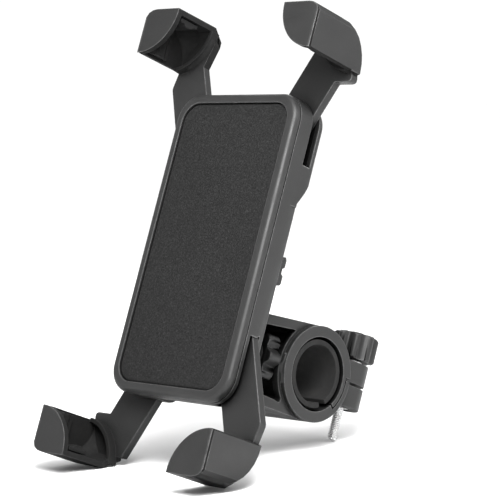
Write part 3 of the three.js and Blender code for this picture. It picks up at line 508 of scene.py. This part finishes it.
class Palette:
    """The finishes of the mount, each built once."""

    def __init__(self) -> None:
        """Builds every finish."""
        self.by_slot: dict[Slot, bpy.types.Material] = {
            Slot.SHELL: MouldedPlastic("satin_shell_plastic", tone=0.018, roughness=0.42).material(),
            Slot.ARM: MouldedPlastic("satin_arm_plastic", tone=0.016, roughness=0.4).material(),
            Slot.FOAM: SpeckledFoam("speckled_foam").material(),
            Slot.SLEEVE: Rubber("sleeve_rubber", tone=0.012).material(),
            Slot.RUBBER: Rubber("lining_rubber", tone=0.005).material(),
            Slot.GEAR: Nylon("natural_nylon").material(),
            Slot.STEEL: ZincSteel("zinc_steel").material(),
        }

    def dress(self, piece: bpy.types.Object, slot: Slot) -> None:
        """Puts a slot's finish on a piece in place of what it has.

        Args:
            piece: The piece.
            slot: Its slot.
        """
        piece.data.materials.clear()
        piece.data.materials.append(self.by_slot[slot])


# ---- Mesh work ----


def shade(piece: bpy.types.Object, degrees: float = 50.0) -> None:
    """Smooths the shading of a mesh between faces that meet at less than an angle.

    Args:
        piece: The piece.
        degrees: The largest angle that still shades smooth.
    """
    piece.data.set_sharp_from_angle(angle=math.radians(degrees))
    piece.data.polygons.foreach_set("use_smooth", [True] * len(piece.data.polygons))
    piece.data.update()
    normals = piece.modifiers.new("flat_faces_first", "WEIGHTED_NORMAL")
    normals.keep_sharp = True


def new_piece(name: str, mesh: bmesh.types.BMesh | bpy.types.Mesh) -> bpy.types.Object:
    """Puts a finished mesh into the scene.

    Args:
        name: Name of the piece.
        mesh: Its mesh in the row frame, in metres. A bmesh is freed.

    Returns:
        The piece.
    """
    data = mesh
    if isinstance(mesh, bmesh.types.BMesh):
        data = bpy.data.meshes.new(name)
        bmesh.ops.recalc_face_normals(mesh, faces=mesh.faces)
        mesh.to_mesh(data)
        mesh.free()
    piece = bpy.data.objects.new(name, data)
    bpy.context.scene.collection.objects.link(piece)
    return piece


def turned_mesh(
    rings: Sequence[tuple[float, float]],
    first: float,
    last: float,
    segments: int,
    place: Callable[[float, float, float], Vector],
) -> bmesh.types.BMesh:
    """Closed turned body through rings.

    Args:
        rings: Each a radius and a depth.
        first: Depth of the pole before the first ring.
        last: Depth of the pole after the last ring.
        segments: Faces round it.
        place: Gives a point's place from its angle, radius and depth.

    Returns:
        The mesh.
    """
    mesh = bmesh.new()
    loops = []
    for radius, depth in rings:
        loops.append([
            mesh.verts.new(place(2 * math.pi * i / segments, radius, depth)) for i in range(segments)
        ])
    start = mesh.verts.new(place(0.0, 0.0, first))
    end = mesh.verts.new(place(0.0, 0.0, last))
    for i in range(segments):
        j = (i + 1) % segments
        mesh.faces.new((start, loops[0][j], loops[0][i]))
        for near, far in zip(loops, loops[1:]):
            mesh.faces.new((near[i], near[j], far[j], far[i]))
        mesh.faces.new((end, loops[-1][i], loops[-1][j]))
    return mesh


def skin(mesh: bmesh.types.BMesh, loops: Sequence[Sequence[bmesh.types.BMVert]]) -> None:
    """Spans faces between rings that follow one another, and closes both ends.

    Args:
        mesh: The mesh that holds the rings.
        loops: The rings, each with as many points as the others.
    """
    count = len(loops[0])
    for near, far in zip(loops, loops[1:]):
        for i in range(count):
            j = (i + 1) % count
            mesh.faces.new((near[i], near[j], far[j], far[i]))
    mesh.faces.new(loops[-1])
    mesh.faces.new(list(reversed(loops[0])))


def cut(piece: bpy.types.Object, cutters: Iterable[bmesh.types.BMesh]) -> None:
    """Cuts meshes out of a piece.

    Args:
        piece: The piece.
        cutters: Closed meshes, which are used up.
    """
    for i, cutter in enumerate(cutters):
        tool = new_piece(f"{piece.name}_cutter_{i}", cutter)
        modifier = piece.modifiers.new("cut", "BOOLEAN")
        modifier.operation = "DIFFERENCE"
        modifier.solver = "EXACT"
        modifier.object = tool
        graph = bpy.context.evaluated_depsgraph_get()
        result = bpy.data.meshes.new_from_object(piece.evaluated_get(graph))
        piece.modifiers.clear()
        piece.data = result
        bpy.data.objects.remove(tool)


def box_mesh(corners: Sequence[tuple[float, float, float]]) -> bmesh.types.BMesh:
    """Box between two corners given about the middle of the pad's face.

    Args:
        corners: Two opposite corners, in millimetres.

    Returns:
        The mesh.
    """
    mesh = bmesh.new()
    bmesh.ops.create_cube(mesh, size=1.0)
    (x0, d0, z0), (x1, d1, z1) = corners
    for vertex in mesh.verts:
        share = vertex.co + Vector((0.5, 0.5, 0.5))
        x = x0 + share.x * (x1 - x0)
        depth = d0 + share.y * (d1 - d0)
        vertex.co = holder_point(x, depth, z0 + share.z * (z1 - z0))
    bmesh.ops.recalc_face_normals(mesh, faces=mesh.faces)
    return mesh


def is_between(low: Sequence[float], spot: Sequence[float], high: Sequence[float]) -> bool:
    """Whether a place lies in the box between two corners."""
    return all(a < value < b for a, value, b in zip(low, spot, high))


def segment_gap(a: Vector, b: Vector, c: Vector, d: Vector) -> float:
    """Least distance between two segments that don't cross.

    Args:
        a: One end of the first.
        b: The other end of the first.
        c: One end of the second.
        d: The other end of the second.

    Returns:
        The distance.
    """
    return min(point_gap(a, c, d), point_gap(b, c, d), point_gap(c, a, b), point_gap(d, a, b))


def point_gap(point: Vector, start: Vector, end: Vector) -> float:
    """Distance from a point to a segment.

    Args:
        point: The point.
        start: One end of the segment.
        end: The other end.

    Returns:
        The distance.
    """
    along = end - start
    share = (point - start).dot(along) / max(along.length_squared, TINY_SQUARE)
    return (start + along * min(1.0, max(0.0, share)) - point).length


@dataclass
class EdgeRounder:
    """Rounds the moulded edges of a frame piece on a copy of it.

    The copy's flat faces are joined first, so that only its real edges are rounded. Each edge is
    rounded by as much as the faces beside it have room for. Lengths in millimetres.
    """

    radius: float = 0.22
    sharper_than: float = 28.0
    weld: float = 0.03
    flat_within: float = 1.0
    steps: int = 2
    least: float = 0.03
    share_of_room: float = 0.42
    smooth_turn: float = 35.0
    corner_share: float = 0.5
    open_corner_share: float = 0.9
    facing: float = 0.2

    def rounded(self, node: str) -> bpy.types.Mesh:
        """Mesh of a node with rounded edges.

        Args:
            node: Name of the node.

        Returns:
            Its mesh, in metres.
        """
        mesh = bmesh.new()
        mesh.from_mesh(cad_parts[node].data)
        bmesh.ops.remove_doubles(mesh, verts=mesh.verts, dist=self.weld * MM)
        bmesh.ops.dissolve_limit(
            mesh, angle_limit=math.radians(self.flat_within), verts=mesh.verts, edges=mesh.edges
        )
        bmesh.ops.recalc_face_normals(mesh, faces=mesh.faces)
        weight = mesh.edges.layers.float.new("bevel_weight_edge")
        for edge, room in self._rooms(mesh).items():
            share = min(1.0, room / (self.radius * MM))
            edge[weight] = share if share * self.radius >= self.least else 0.0
        piece = new_piece(node + "_sharp", mesh)
        bevel = piece.modifiers.new("rounding", "BEVEL")
        bevel.limit_method = "WEIGHT"
        bevel.width = self.radius * MM
        bevel.segments = self.steps
        bevel.use_clamp_overlap = False
        graph = bpy.context.evaluated_depsgraph_get()
        rounded = bpy.data.meshes.new_from_object(piece.evaluated_get(graph))
        bpy.data.objects.remove(piece)
        return rounded

    def _rooms(self, mesh: bmesh.types.BMesh) -> dict[bmesh.types.BMEdge, float]:
        """Room beside every edge that is to be rounded.

        Args:
            mesh: The mesh.

        Returns:
            The room of each such edge, in metres, the same along a smooth line of edges.
        """
        limit = math.radians(self.sharper_than)
        room = {e: self.radius * MM for e in mesh.edges if e.is_manifold and e.calc_face_angle(0.0) > limit}
        for face in mesh.faces:
            self._fit_corners(face, room)
            self._fit_across(face, room)
        return self._even_out(room)

    def _fit_corners(self, face: bmesh.types.BMFace, room: dict[bmesh.types.BMEdge, float]) -> None:
        """Holds back the edges that meet at a face's corners.

        Args:
            face: The face.
            room: Room of each edge, lowered where needed.
        """
        for loop in face.loops:
            if not loop.is_convex:
                continue
            into, out = loop.link_loop_prev.edge, loop.edge
            angle = loop.calc_angle()
            shortest = min(into.calc_length(), out.calc_length())
            if into in room and out in room:
                fits = self.corner_share * shortest * math.tan(angle / 2)
            else:
                fits = self.open_corner_share * shortest * math.sin(angle)
            for edge in (into, out):
                if edge in room:
                    room[edge] = min(room[edge], fits)

    def _fit_across(self, face: bmesh.types.BMFace, room: dict[bmesh.types.BMEdge, float]) -> None:
        """Holds back the edges that face each other across a face.

        Args:
            face: The face.
            room: Room of each edge, lowered where needed.
        """
        sides = [(loop.edge, loop.vert.co, loop.link_loop_next.vert.co) for loop in face.loops]
        for i, (first, a, b) in enumerate(sides):
            way = (b - a).normalized()
            for second, c, d in sides[i + 2:]:
                if first not in room and second not in room:
                    continue
                if way.dot((d - c).normalized()) > self.facing:
                    continue
                gap = segment_gap(a, b, c, d)
                if gap < TOUCHING:
                    continue
                for edge in (first, second):
                    if edge in room:
                        room[edge] = min(room[edge], gap * self.share_of_room)

    def _even_out(self, room: dict[bmesh.types.BMEdge, float]) -> dict[bmesh.types.BMEdge, float]:
        """Gives a smooth line of edges the least room found along it.

        Args:
            room: Room of each edge.

        Returns:
            The evened room.
        """
        turn = math.cos(math.radians(self.smooth_turn))
        done: dict[bmesh.types.BMEdge, float] = {}
        for start in room:
            if start in done:
                continue
            line = {start}
            waiting = [start]
            while waiting:
                edge = waiting.pop()
                for vertex in edge.verts:
                    near = [e for e in vertex.link_edges if e in room and e is not edge]
                    here = edge.other_vert(vertex).co - vertex.co
                    for other in near:
                        there = other.other_vert(vertex).co - vertex.co
                        if other not in line and -here.normalized().dot(there.normalized()) > turn:
                            line.add(other)
                            waiting.append(other)
            least = min(room[edge] for edge in line)
            done.update({edge: least for edge in line})
        return done


@dataclass
class Workshop:
    """What the sub-assemblies share: the finishes, and how a piece is fitted to the frame."""

    palette: Palette
    made: list[str] = field(default_factory=list)

    def fit(self, piece: bpy.types.Object, body: str, slot: Slot, *nodes: str) -> bpy.types.Object:
        """Dresses a piece, lets it ride on a body, and lets it stand for nodes.

        Args:
            piece: The piece, in place.
            body: Name of the body.
            slot: Slot of its finish.
            *nodes: Nodes that it stands for.

        Returns:
            The piece.
        """
        self.palette.dress(piece, slot)
        shade(piece)
        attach(piece, body)
        if nodes:
            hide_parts(*nodes)
        self.made.append(piece.name)
        LOG.info("%s rides on %s in %s", piece.name, body, slot.value)
        return piece

    def mould(self, node: str, body: str, slot: Slot, rounder: EdgeRounder) -> bpy.types.Object:
        """Makes a node's piece with rounded edges.

        Args:
            node: Name of the node.
            body: Name of its body.
            slot: Slot of its finish.
            rounder: How its edges are rounded.

        Returns:
            The piece.
        """
        piece = new_piece(node + "_moulded", rounder.rounded(node))
        return self.fit(piece, body, slot, node)


# ---- Sub-assemblies ----


@dataclass
class HolderBody:
    """Front shell, back cover and lock slider."""

    shell_edge: float = 0.3
    cover_edge: float = 0.3
    slider_edge: float = 0.18

    def build(self, shop: Workshop) -> None:
        """Makes the holder's casing.

        Args:
            shop: Where the pieces are fitted.
        """
        shop.mould("front_shell", "holder", Slot.SHELL, EdgeRounder(self.shell_edge, sharper_than=22.0))
        shop.mould("back_cover", "holder", Slot.SHELL, EdgeRounder(self.cover_edge))
        shop.mould("lock_slider", "lock_slider", Slot.ARM, EdgeRounder(self.slider_edge))


@dataclass
class CoverScrew:
    """Pan-head screw with a cross recess, at a place on the cover. Sizes in millimetres."""

    head_radius: float = 2.4
    shank_radius: float = 1.2
    head_front: float = 11.9
    head_back: float = 13.0
    shank_front: float = 5.4
    slot_length: float = 2.8
    slot_width: float = 0.62
    slot_depth: float = 0.7
    segments: int = 40
    dome: tuple[tuple[float, float], ...] = ((0.45, 0.03), (0.8, 0.22), (0.97, 0.5), (1.0, 0.75))
    rim_share: float = 0.96
    tip_length: float = 0.6
    tip_radius: float = 0.3
    cross_turn: float = 0.4
    cutter_rise: float = 0.2

    def mesh(self, x: float, z: float) -> bmesh.types.BMesh:
        """Turned screw with a domed head, without its cross.

        Args:
            x: Its place to the right of the middle.
            z: Its place above the middle.

        Returns:
            The mesh.
        """
        rings = [(self.head_radius * share, self.head_back - drop) for share, drop in self.dome]
        rings += [
            (self.head_radius * self.rim_share, self.head_front),
            (self.shank_radius, self.head_front),
            (self.shank_radius, self.shank_front + self.tip_length),
            (self.tip_radius, self.shank_front),
        ]

        def place(angle: float, radius: float, depth: float) -> Vector:
            """Place of a point on the screw."""
            return holder_point(x + radius * math.cos(angle), depth, z + radius * math.sin(angle))

        return turned_mesh(rings, self.head_back, self.shank_front, self.segments, place)

    def cross(self, x: float, z: float) -> list[bmesh.types.BMesh]:
        """Two bars that cut the driver's recess."""
        return [self._bar(x, z, turn) for turn in (self.cross_turn, self.cross_turn + math.pi / 2)]

    def _bar(self, x: float, z: float, turn: float) -> bmesh.types.BMesh:
        """One bar of the recess."""
        bar = bmesh.new()
        bmesh.ops.create_cube(bar, size=1.0)
        for vertex in bar.verts:
            a = vertex.co.x * self.slot_length
            b = vertex.co.y * self.slot_width
            sunk = (0.5 - vertex.co.z) * (self.slot_depth + self.cutter_rise)
            depth = self.head_back + self.cutter_rise - sunk
            px = x + a * math.cos(turn) - b * math.sin(turn)
            pz = z + a * math.sin(turn) + b * math.cos(turn)
            vertex.co = holder_point(px, depth, pz)
        return bar


@dataclass
class CoverScrews:
    """The four screws that hold the casing together."""

    places: tuple[tuple[float, float], ...] = ((-5.0, 50.0), (26.6, 12.0), (-26.6, -12.0), (5.0, -50.0))
    screw: CoverScrew = field(default_factory=CoverScrew)

    def build(self, shop: Workshop) -> None:
        """Makes the screws.

        Args:
            shop: Where the pieces are fitted.
        """
        for number, (x, z) in enumerate(self.places, start=1):
            piece = new_piece(f"pan_head_screw_{number}", self.screw.mesh(x, z))
            cut(piece, self.screw.cross(x, z))
            shop.fit(piece, "holder", Slot.STEEL, f"cover_screw_{number}")


@dataclass
class GripPad:
    """The foam pad that the phone lies against. Sizes in millimetres."""

    width: float = 54.6
    height: float = 108.4
    corner: float = 7.0
    thickness: float = 1.3
    crown: float = 0.12
    edge_drop: float = 0.42
    back_inset: float = 0.35
    back_drop: float = 0.25
    roll_reach: float = 0.3
    crown_reach: float = 4.0
    middle_gap: float = 0.6
    crowding: float = 1.8
    least_corner: float = 0.4
    corner_steps: int = 14
    rings: int = 26
    fill: float = 0.95

    def outline(self, inset: float) -> list[tuple[float, float]]:
        """Rounded outline, drawn in by an inset.

        Args:
            inset: Millimetres inside the pad's own outline.

        Returns:
            Points as x and z.
        """
        radius = max(self.corner - inset, self.least_corner)
        half_x = self.width / 2 - inset - radius
        half_z = self.height / 2 - inset - radius
        points = []
        for quarter, (sx, sz) in enumerate(((1, 1), (-1, 1), (-1, -1), (1, -1))):
            for i in range(self.corner_steps + 1):
                angle = math.pi / 2 * (quarter + i / self.corner_steps)
                x = sx * half_x + radius * math.cos(angle)
                points.append((x, sz * half_z + radius * math.sin(angle)))
        return points

    def mesh(self) -> bmesh.types.BMesh:
        """Crowned pad whose edge rolls down to the recess.

        Returns:
            The mesh.
        """
        mesh = bmesh.new()
        deepest = self.width / 2 - self.middle_gap
        loops = [
            self._ring(mesh, self.back_inset, self.thickness),
            self._ring(mesh, 0.0, self.thickness - self.back_drop),
            self._ring(mesh, 0.0, self.edge_drop),
        ]
        for i in range(1, self.rings + 1):
            inset = (i / self.rings) ** self.crowding * deepest
            rolled = self.edge_drop * math.exp(-inset / self.roll_reach)
            raised = self.crown * (1 - math.exp(-inset / self.crown_reach))
            loops.append(self._ring(mesh, inset, rolled - raised + self.crown))
        skin(mesh, loops)
        return mesh

    def _ring(self, mesh: bmesh.types.BMesh, inset: float, depth: float) -> list[bmesh.types.BMVert]:
        """One ring of the pad's skin."""
        return [mesh.verts.new(holder_point(x, depth, z)) for x, z in self.outline(inset)]

    def build(self, shop: Workshop) -> None:
        """Makes the pad.

        Args:
            shop: Where the pieces are fitted.
        """
        piece = new_piece("foam_pad", self.mesh())
        shop.fit(piece, "holder", Slot.FOAM, "grip_pad")


@dataclass
class HookedArms:
    """The four sliding arms and the rubber lining in each claw."""

    arm_edge: float = 0.28
    lining_edge: float = 0.25
    # Boxes where the arm's own faces are painted dark as shade.
    inside: Span = ((25.0, -15.0, 68.5), (44.6, 12.0, 86.6))
    lip_line: Span = ((44.7, -15.8, 69.0), (46.0, -14.9, 85.0))
    foot_line: Span = ((44.9, -15.4, 69.0), (46.0, 8.0, 70.2))

    def build(self, shop: Workshop) -> None:
        """Makes the arms and linings.

        Args:
            shop: Where the pieces are fitted.
        """
        for corner in Corner:
            body = "arm_" + corner.label
            arm = new_piece(body + "_moulded", EdgeRounder(self.arm_edge).rounded(body))
            cut(arm, self.shadow_lines(corner))
            shop.fit(arm, body, Slot.ARM, body)
            self.paint_shade_inside(arm, shop)
            shop.mould("claw_pad_" + corner.label, body, Slot.RUBBER, EdgeRounder(self.lining_edge))

    def shadow_lines(self, corner: Corner) -> list[bmesh.types.BMesh]:
        """Cutters of the lines that part a claw's side from its lip and from its arm.

        Args:
            corner: Which claw.

        Returns:
            The cutters.
        """
        side, level = corner.value
        return [
            box_mesh([(side * x, depth, level * z) for x, depth, z in (low, high)])
            for low, high in (self.lip_line, self.foot_line)
        ]

    def paint_shade_inside(self, arm: bpy.types.Object, shop: Workshop) -> None:
        """Paints shade on the inside of a claw and in its shadow lines, with the lining's rubber finish on
        the arm's own faces.

        Args:
            arm: The arm.
            shop: Holder of the finishes.
        """
        # Painted shade: the arm's faces inside the claw and in its two grooves take the dark rubber finish.
        arm.data.materials.append(shop.palette.by_slot[Slot.RUBBER])
        painted_shade_zones = (self.inside, self.lip_line, self.foot_line)
        for face in arm.data.polygons:
            x, depth, z = holder_place(face.center)
            spot = (abs(x), depth, abs(z))
            if any(is_between(low, spot, high) for low, high in painted_shade_zones):
                face.material_index = 1


@dataclass
class RackDrive:
    """The pinion that the racks mesh with, and its pin."""

    tooth_edge: float = 0.12

    def build(self, shop: Workshop) -> None:
        """Makes the drive.

        Args:
            shop: Where the pieces are fitted.
        """
        shop.mould("pinion_gear", "pinion", Slot.GEAR, EdgeRounder(self.tooth_edge))
        shop.mould("pinion_pin", "holder", Slot.STEEL, EdgeRounder(self.tooth_edge))


@dataclass
class Swivel:
    """Stud, washer and lock nut between the holder and the clamp."""

    nut_edge: float = 0.35
    metal_edge: float = 0.15

    def build(self, shop: Workshop) -> None:
        """Makes the swivel.

        Args:
            shop: Where the pieces are fitted.
        """
        shop.mould("swivel_stud", "holder", Slot.STEEL, EdgeRounder(self.metal_edge))
        shop.mould("swivel_washer", "holder", Slot.RUBBER, EdgeRounder(self.metal_edge))
        shop.mould("swivel_lock_nut", "lock_nut", Slot.ARM, EdgeRounder(self.nut_edge, sharper_than=35.0))


@dataclass
class BarClamp:
    """Bracket with its split ring, the rubber sleeve in it and its metal inserts."""

    bracket_edge: float = 0.28
    sleeve_edge: float = 0.25
    metal_edge: float = 0.12

    def build(self, shop: Workshop) -> None:
        """Makes the clamp.

        Args:
            shop: Where the pieces are fitted.
        """
        shop.mould("clamp_bracket", "clamp", Slot.ARM, EdgeRounder(self.bracket_edge))
        shop.mould("rubber_insert", "clamp", Slot.SLEEVE, EdgeRounder(self.sleeve_edge))
        shop.mould("clamp_washer", "clamp", Slot.STEEL, EdgeRounder(self.metal_edge))
        shop.mould("captive_nut", "clamp", Slot.STEEL, EdgeRounder(self.metal_edge))


@dataclass
class ThumbScrew:
    """The lobed knob and its threaded bolt. Sizes in millimetres."""

    knob_edge: float = 0.32
    bolt_behind_bar: float = 28.9
    tip: float = -19.8
    thread_radius: float = 2.0
    thread_depth: float = 0.3
    pitch: float = 0.7
    thread_top: float = 12.4
    head_radius: float = 4.05
    head_low: float = 18.8
    head_high: float = 21.6
    foot_inset: float = 0.15
    foot_rise: float = 0.2
    top_inset: float = 0.5
    top_drop: float = 0.3
    shank_relief: float = 0.04
    groove_power: float = 0.8
    lead_pitches: float = 1.2
    around: int = 28
    per_pitch: int = 6

    def _place(self, angle: float, radius: float, height: float) -> Vector:
        """Place of a point on the bolt."""
        behind = self.bolt_behind_bar + radius * math.sin(angle)
        return clamp_point(radius * math.cos(angle), behind, height)

    def _thread_radius(self, angle: float, height: float) -> float:
        """Radius of the threaded skin, a rounded V that climbs once a turn."""
        if height > self.thread_top:
            return self.thread_radius - self.shank_relief
        phase = (height / self.pitch - angle / (2 * math.pi)) % 1.0
        groove = (1 - abs(2 * phase - 1)) ** self.groove_power
        lead_in = min(1.0, (height - self.tip) / (self.lead_pitches * self.pitch))
        sunk = groove if lead_in >= 1 else 1 - lead_in * (1 - groove)
        return self.thread_radius - self.thread_depth * sunk

    def bolt_mesh(self) -> bmesh.types.BMesh:
        """Threaded shank with its six-sided head.

        Returns:
            The mesh.
        """
        mesh = bmesh.new()
        length = self.head_low - self.tip
        rows = int(length / self.pitch * self.per_pitch)
        angles = [2 * math.pi * i / self.around for i in range(self.around)]
        loops = []
        for k in range(rows + 1):
            height = self.tip + length * k / rows
            spots = [self._place(a, self._thread_radius(a, height), height) for a in angles]
            loops.append([mesh.verts.new(spot) for spot in spots])
        head_rings = (
            (self.head_radius - self.foot_inset, self.head_low),
            (self.head_radius, self.head_low + self.foot_rise),
            (self.head_radius, self.head_high - self.top_drop),
            (self.head_radius - self.top_inset, self.head_high),
        )
        for radius, height in head_rings:
            spots = [self._place(a, self._hexagon(a) * radius, height) for a in angles]
            loops.append([mesh.verts.new(spot) for spot in spots])
        skin(mesh, loops)
        return mesh

    def _hexagon(self, angle: float) -> float:
        """Share of a hexagon's corner radius at an angle."""
        sixth = math.pi / 3
        return math.cos(math.pi / 6) / math.cos((angle % sixth) - math.pi / 6)

    def build(self, shop: Workshop) -> None:
        """Makes the thumb screw.

        Args:
            shop: Where the pieces are fitted.
        """
        shop.mould("clamp_knob", "thumb_screw", Slot.ARM, EdgeRounder(self.knob_edge, sharper_than=35.0))
        piece = new_piece("threaded_bolt", self.bolt_mesh())
        shop.fit(piece, "thumb_screw", Slot.STEEL, "clamp_bolt")


# ---- Studio ----


@dataclass(frozen=True)
class Softbox:
    """A square soft lamp that the camera doesn't see. Metres and watts."""

    name: str
    place: tuple[float, float, float]
    aim: tuple[float, float, float]
    size: float
    watts: float

    def hang(self) -> None:
        """Hangs the lamp and points it."""
        data = bpy.data.lights.new(self.name, "AREA")
        data.size = self.size
        data.energy = self.watts
        lamp = bpy.data.objects.new(self.name, data)
        lamp.location = self.place
        lamp.visible_camera = False
        lamp.rotation_mode = "QUATERNION"
        lamp.rotation_quaternion = (Vector(self.aim) - Vector(self.place)).to_track_quat("-Z", "Y")
        bpy.context.scene.collection.objects.link(lamp)


@dataclass
class Studio:
    """Pale floor, soft light and the camera. Metres, watts and degrees."""

    floor_height: float = -0.0299
    floor_reach: float = 6.0
    near_floor_shade_tone: float = 0.78
    far_tone: float = 0.95
    paling_starts: float = 0.05
    paling_ends: float = 0.7
    floor_roughness: float = 0.9
    floor_shine: float = 0.1
    softboxes: tuple[Softbox, ...] = (
        Softbox("top_softbox", (0.24, -0.22, 0.44), (0.0, -0.02, 0.13), 0.22, 4.2),
        Softbox("right_softbox", (0.40, 0.16, 0.34), (0.0, 0.0, 0.12), 0.2, 0.9),
        Softbox("front_softbox", (0.24, -0.26, 0.24), (0.02, -0.01, 0.14), 0.14, 1.9),
        Softbox("rear_softbox", (-0.5, 0.48, 0.42), (0.0, 0.0, 0.08), 0.45, 1.6),
    )
    glow_strength: float = 2.5
    glow_spread: float = 1.1  # radians
    glow_tilt: tuple[float, float] = (12.0, 18.0)
    dimming_starts: float = 0.18
    dimming_ends: float = 0.42
    wall_light: float = 1.05
    ceiling_light: float = 0.3
    azimuth: float = 45.28
    elevation: float = 4.65
    roll: float = -1.42
    distance: float = 0.8371
    aim: tuple[float, float, float] = (-0.0141, -0.0089, 0.0471)
    lens: float = 156.69
    clip_near: float = 0.05
    clip_far: float = 50.0

    def floor(self) -> None:
        """Lays the floor."""
        mesh = bmesh.new()
        bmesh.ops.create_grid(mesh, x_segments=1, y_segments=1, size=self.floor_reach)
        bmesh.ops.translate(mesh, verts=mesh.verts, vec=(0, 0, self.floor_height))
        piece = new_piece("studio_floor", mesh)
        sheet = NodeSheet("pale_floor")
        # Painted shade: the floor is darker near the object and pales further out.
        reach = sheet.add("ShaderNodeVectorMath", operation="LENGTH")
        sheet.join(sheet.place, reach.inputs[0])
        away = sheet.ramp(reach.outputs["Value"], self.paling_starts, self.paling_ends, 0.0, 1.0)
        floor_with_painted_shade = sheet.mixed(away, grey(self.near_floor_shade_tone), grey(self.far_tone))
        sheet.join(floor_with_painted_shade, sheet.shader.inputs["Base Color"])
        sheet.shader.inputs["Roughness"].default_value = self.floor_roughness
        sheet.shader.inputs["Specular IOR Level"].default_value = self.floor_shine
        piece.data.materials.append(sheet.material)

    def light(self) -> None:
        """Hangs the softboxes and the wide glow of the ceiling."""
        for softbox in self.softboxes:
            softbox.hang()
        sun = bpy.data.lights.new("ceiling_glow", "SUN")
        sun.energy = self.glow_strength
        sun.angle = self.glow_spread
        ceiling = bpy.data.objects.new("ceiling_glow", sun)
        ceiling.rotation_euler = (*(math.radians(tilt) for tilt in self.glow_tilt), 0.0)
        bpy.context.scene.collection.objects.link(ceiling)

    def surround(self) -> None:
        """Sets the white surroundings, brighter low down than overhead."""
        world = bpy.data.worlds.new("studio_walls")
        world.use_nodes = True
        nodes = world.node_tree.nodes
        links = world.node_tree.links
        place = nodes.new("ShaderNodeTexCoord")
        split = nodes.new("ShaderNodeSeparateXYZ")
        links.new(place.outputs["Generated"], split.inputs["Vector"])
        dimming = nodes.new("ShaderNodeMapRange")
        links.new(split.outputs["Z"], dimming.inputs["Value"])
        set_range(dimming, self.dimming_starts, self.dimming_ends, self.wall_light, self.ceiling_light)
        background = nodes["Background"]
        background.inputs["Color"].default_value = (1, 1, 1, 1)
        links.new(dimming.outputs["Result"], background.inputs["Strength"])
        bpy.context.scene.world = world
        bpy.context.scene.view_settings.view_transform = "Standard"

    def camera(self) -> None:
        """Sets the camera on the object from its right front."""
        a, e, r = (math.radians(v) for v in (self.azimuth, self.elevation, self.roll))
        back = Vector((math.sin(a) * math.cos(e), -math.cos(a) * math.cos(e), math.sin(e)))
        level = Vector((math.cos(a), math.sin(a), 0.0))
        upright = back.cross(level)
        right = level * math.cos(r) + upright * math.sin(r)
        up = back.cross(right)
        turn = Matrix((right, up, back)).transposed()
        data = bpy.data.cameras.new("studio_camera")
        data.lens = self.lens
        data.clip_start = self.clip_near
        data.clip_end = self.clip_far
        camera = bpy.data.objects.new("studio_camera", data)
        camera.matrix_world = Matrix.Translation(Vector(self.aim) + back * self.distance) @ turn.to_4x4()
        bpy.context.scene.collection.objects.link(camera)
        bpy.context.scene.camera = camera

    def build(self) -> None:
        """Sets up the whole studio."""
        self.camera()
        self.floor()
        self.light()
        self.surround()


def main() -> None:
    """Builds every sub-assembly around the frame, then the studio."""
    logging.basicConfig(level=logging.INFO, format="%(message)s")
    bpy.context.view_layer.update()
    shop = Workshop(Palette())
    Studio().build()
    assemblies = (
        HolderBody(), GripPad(), CoverScrews(), HookedArms(),
        RackDrive(), Swivel(), BarClamp(), ThumbScrew(),
    )
    for assembly in assemblies:
        assembly.build(shop)
    LOG.info("%d pieces", len(shop.made))


if __name__ == "__main__":
    main()
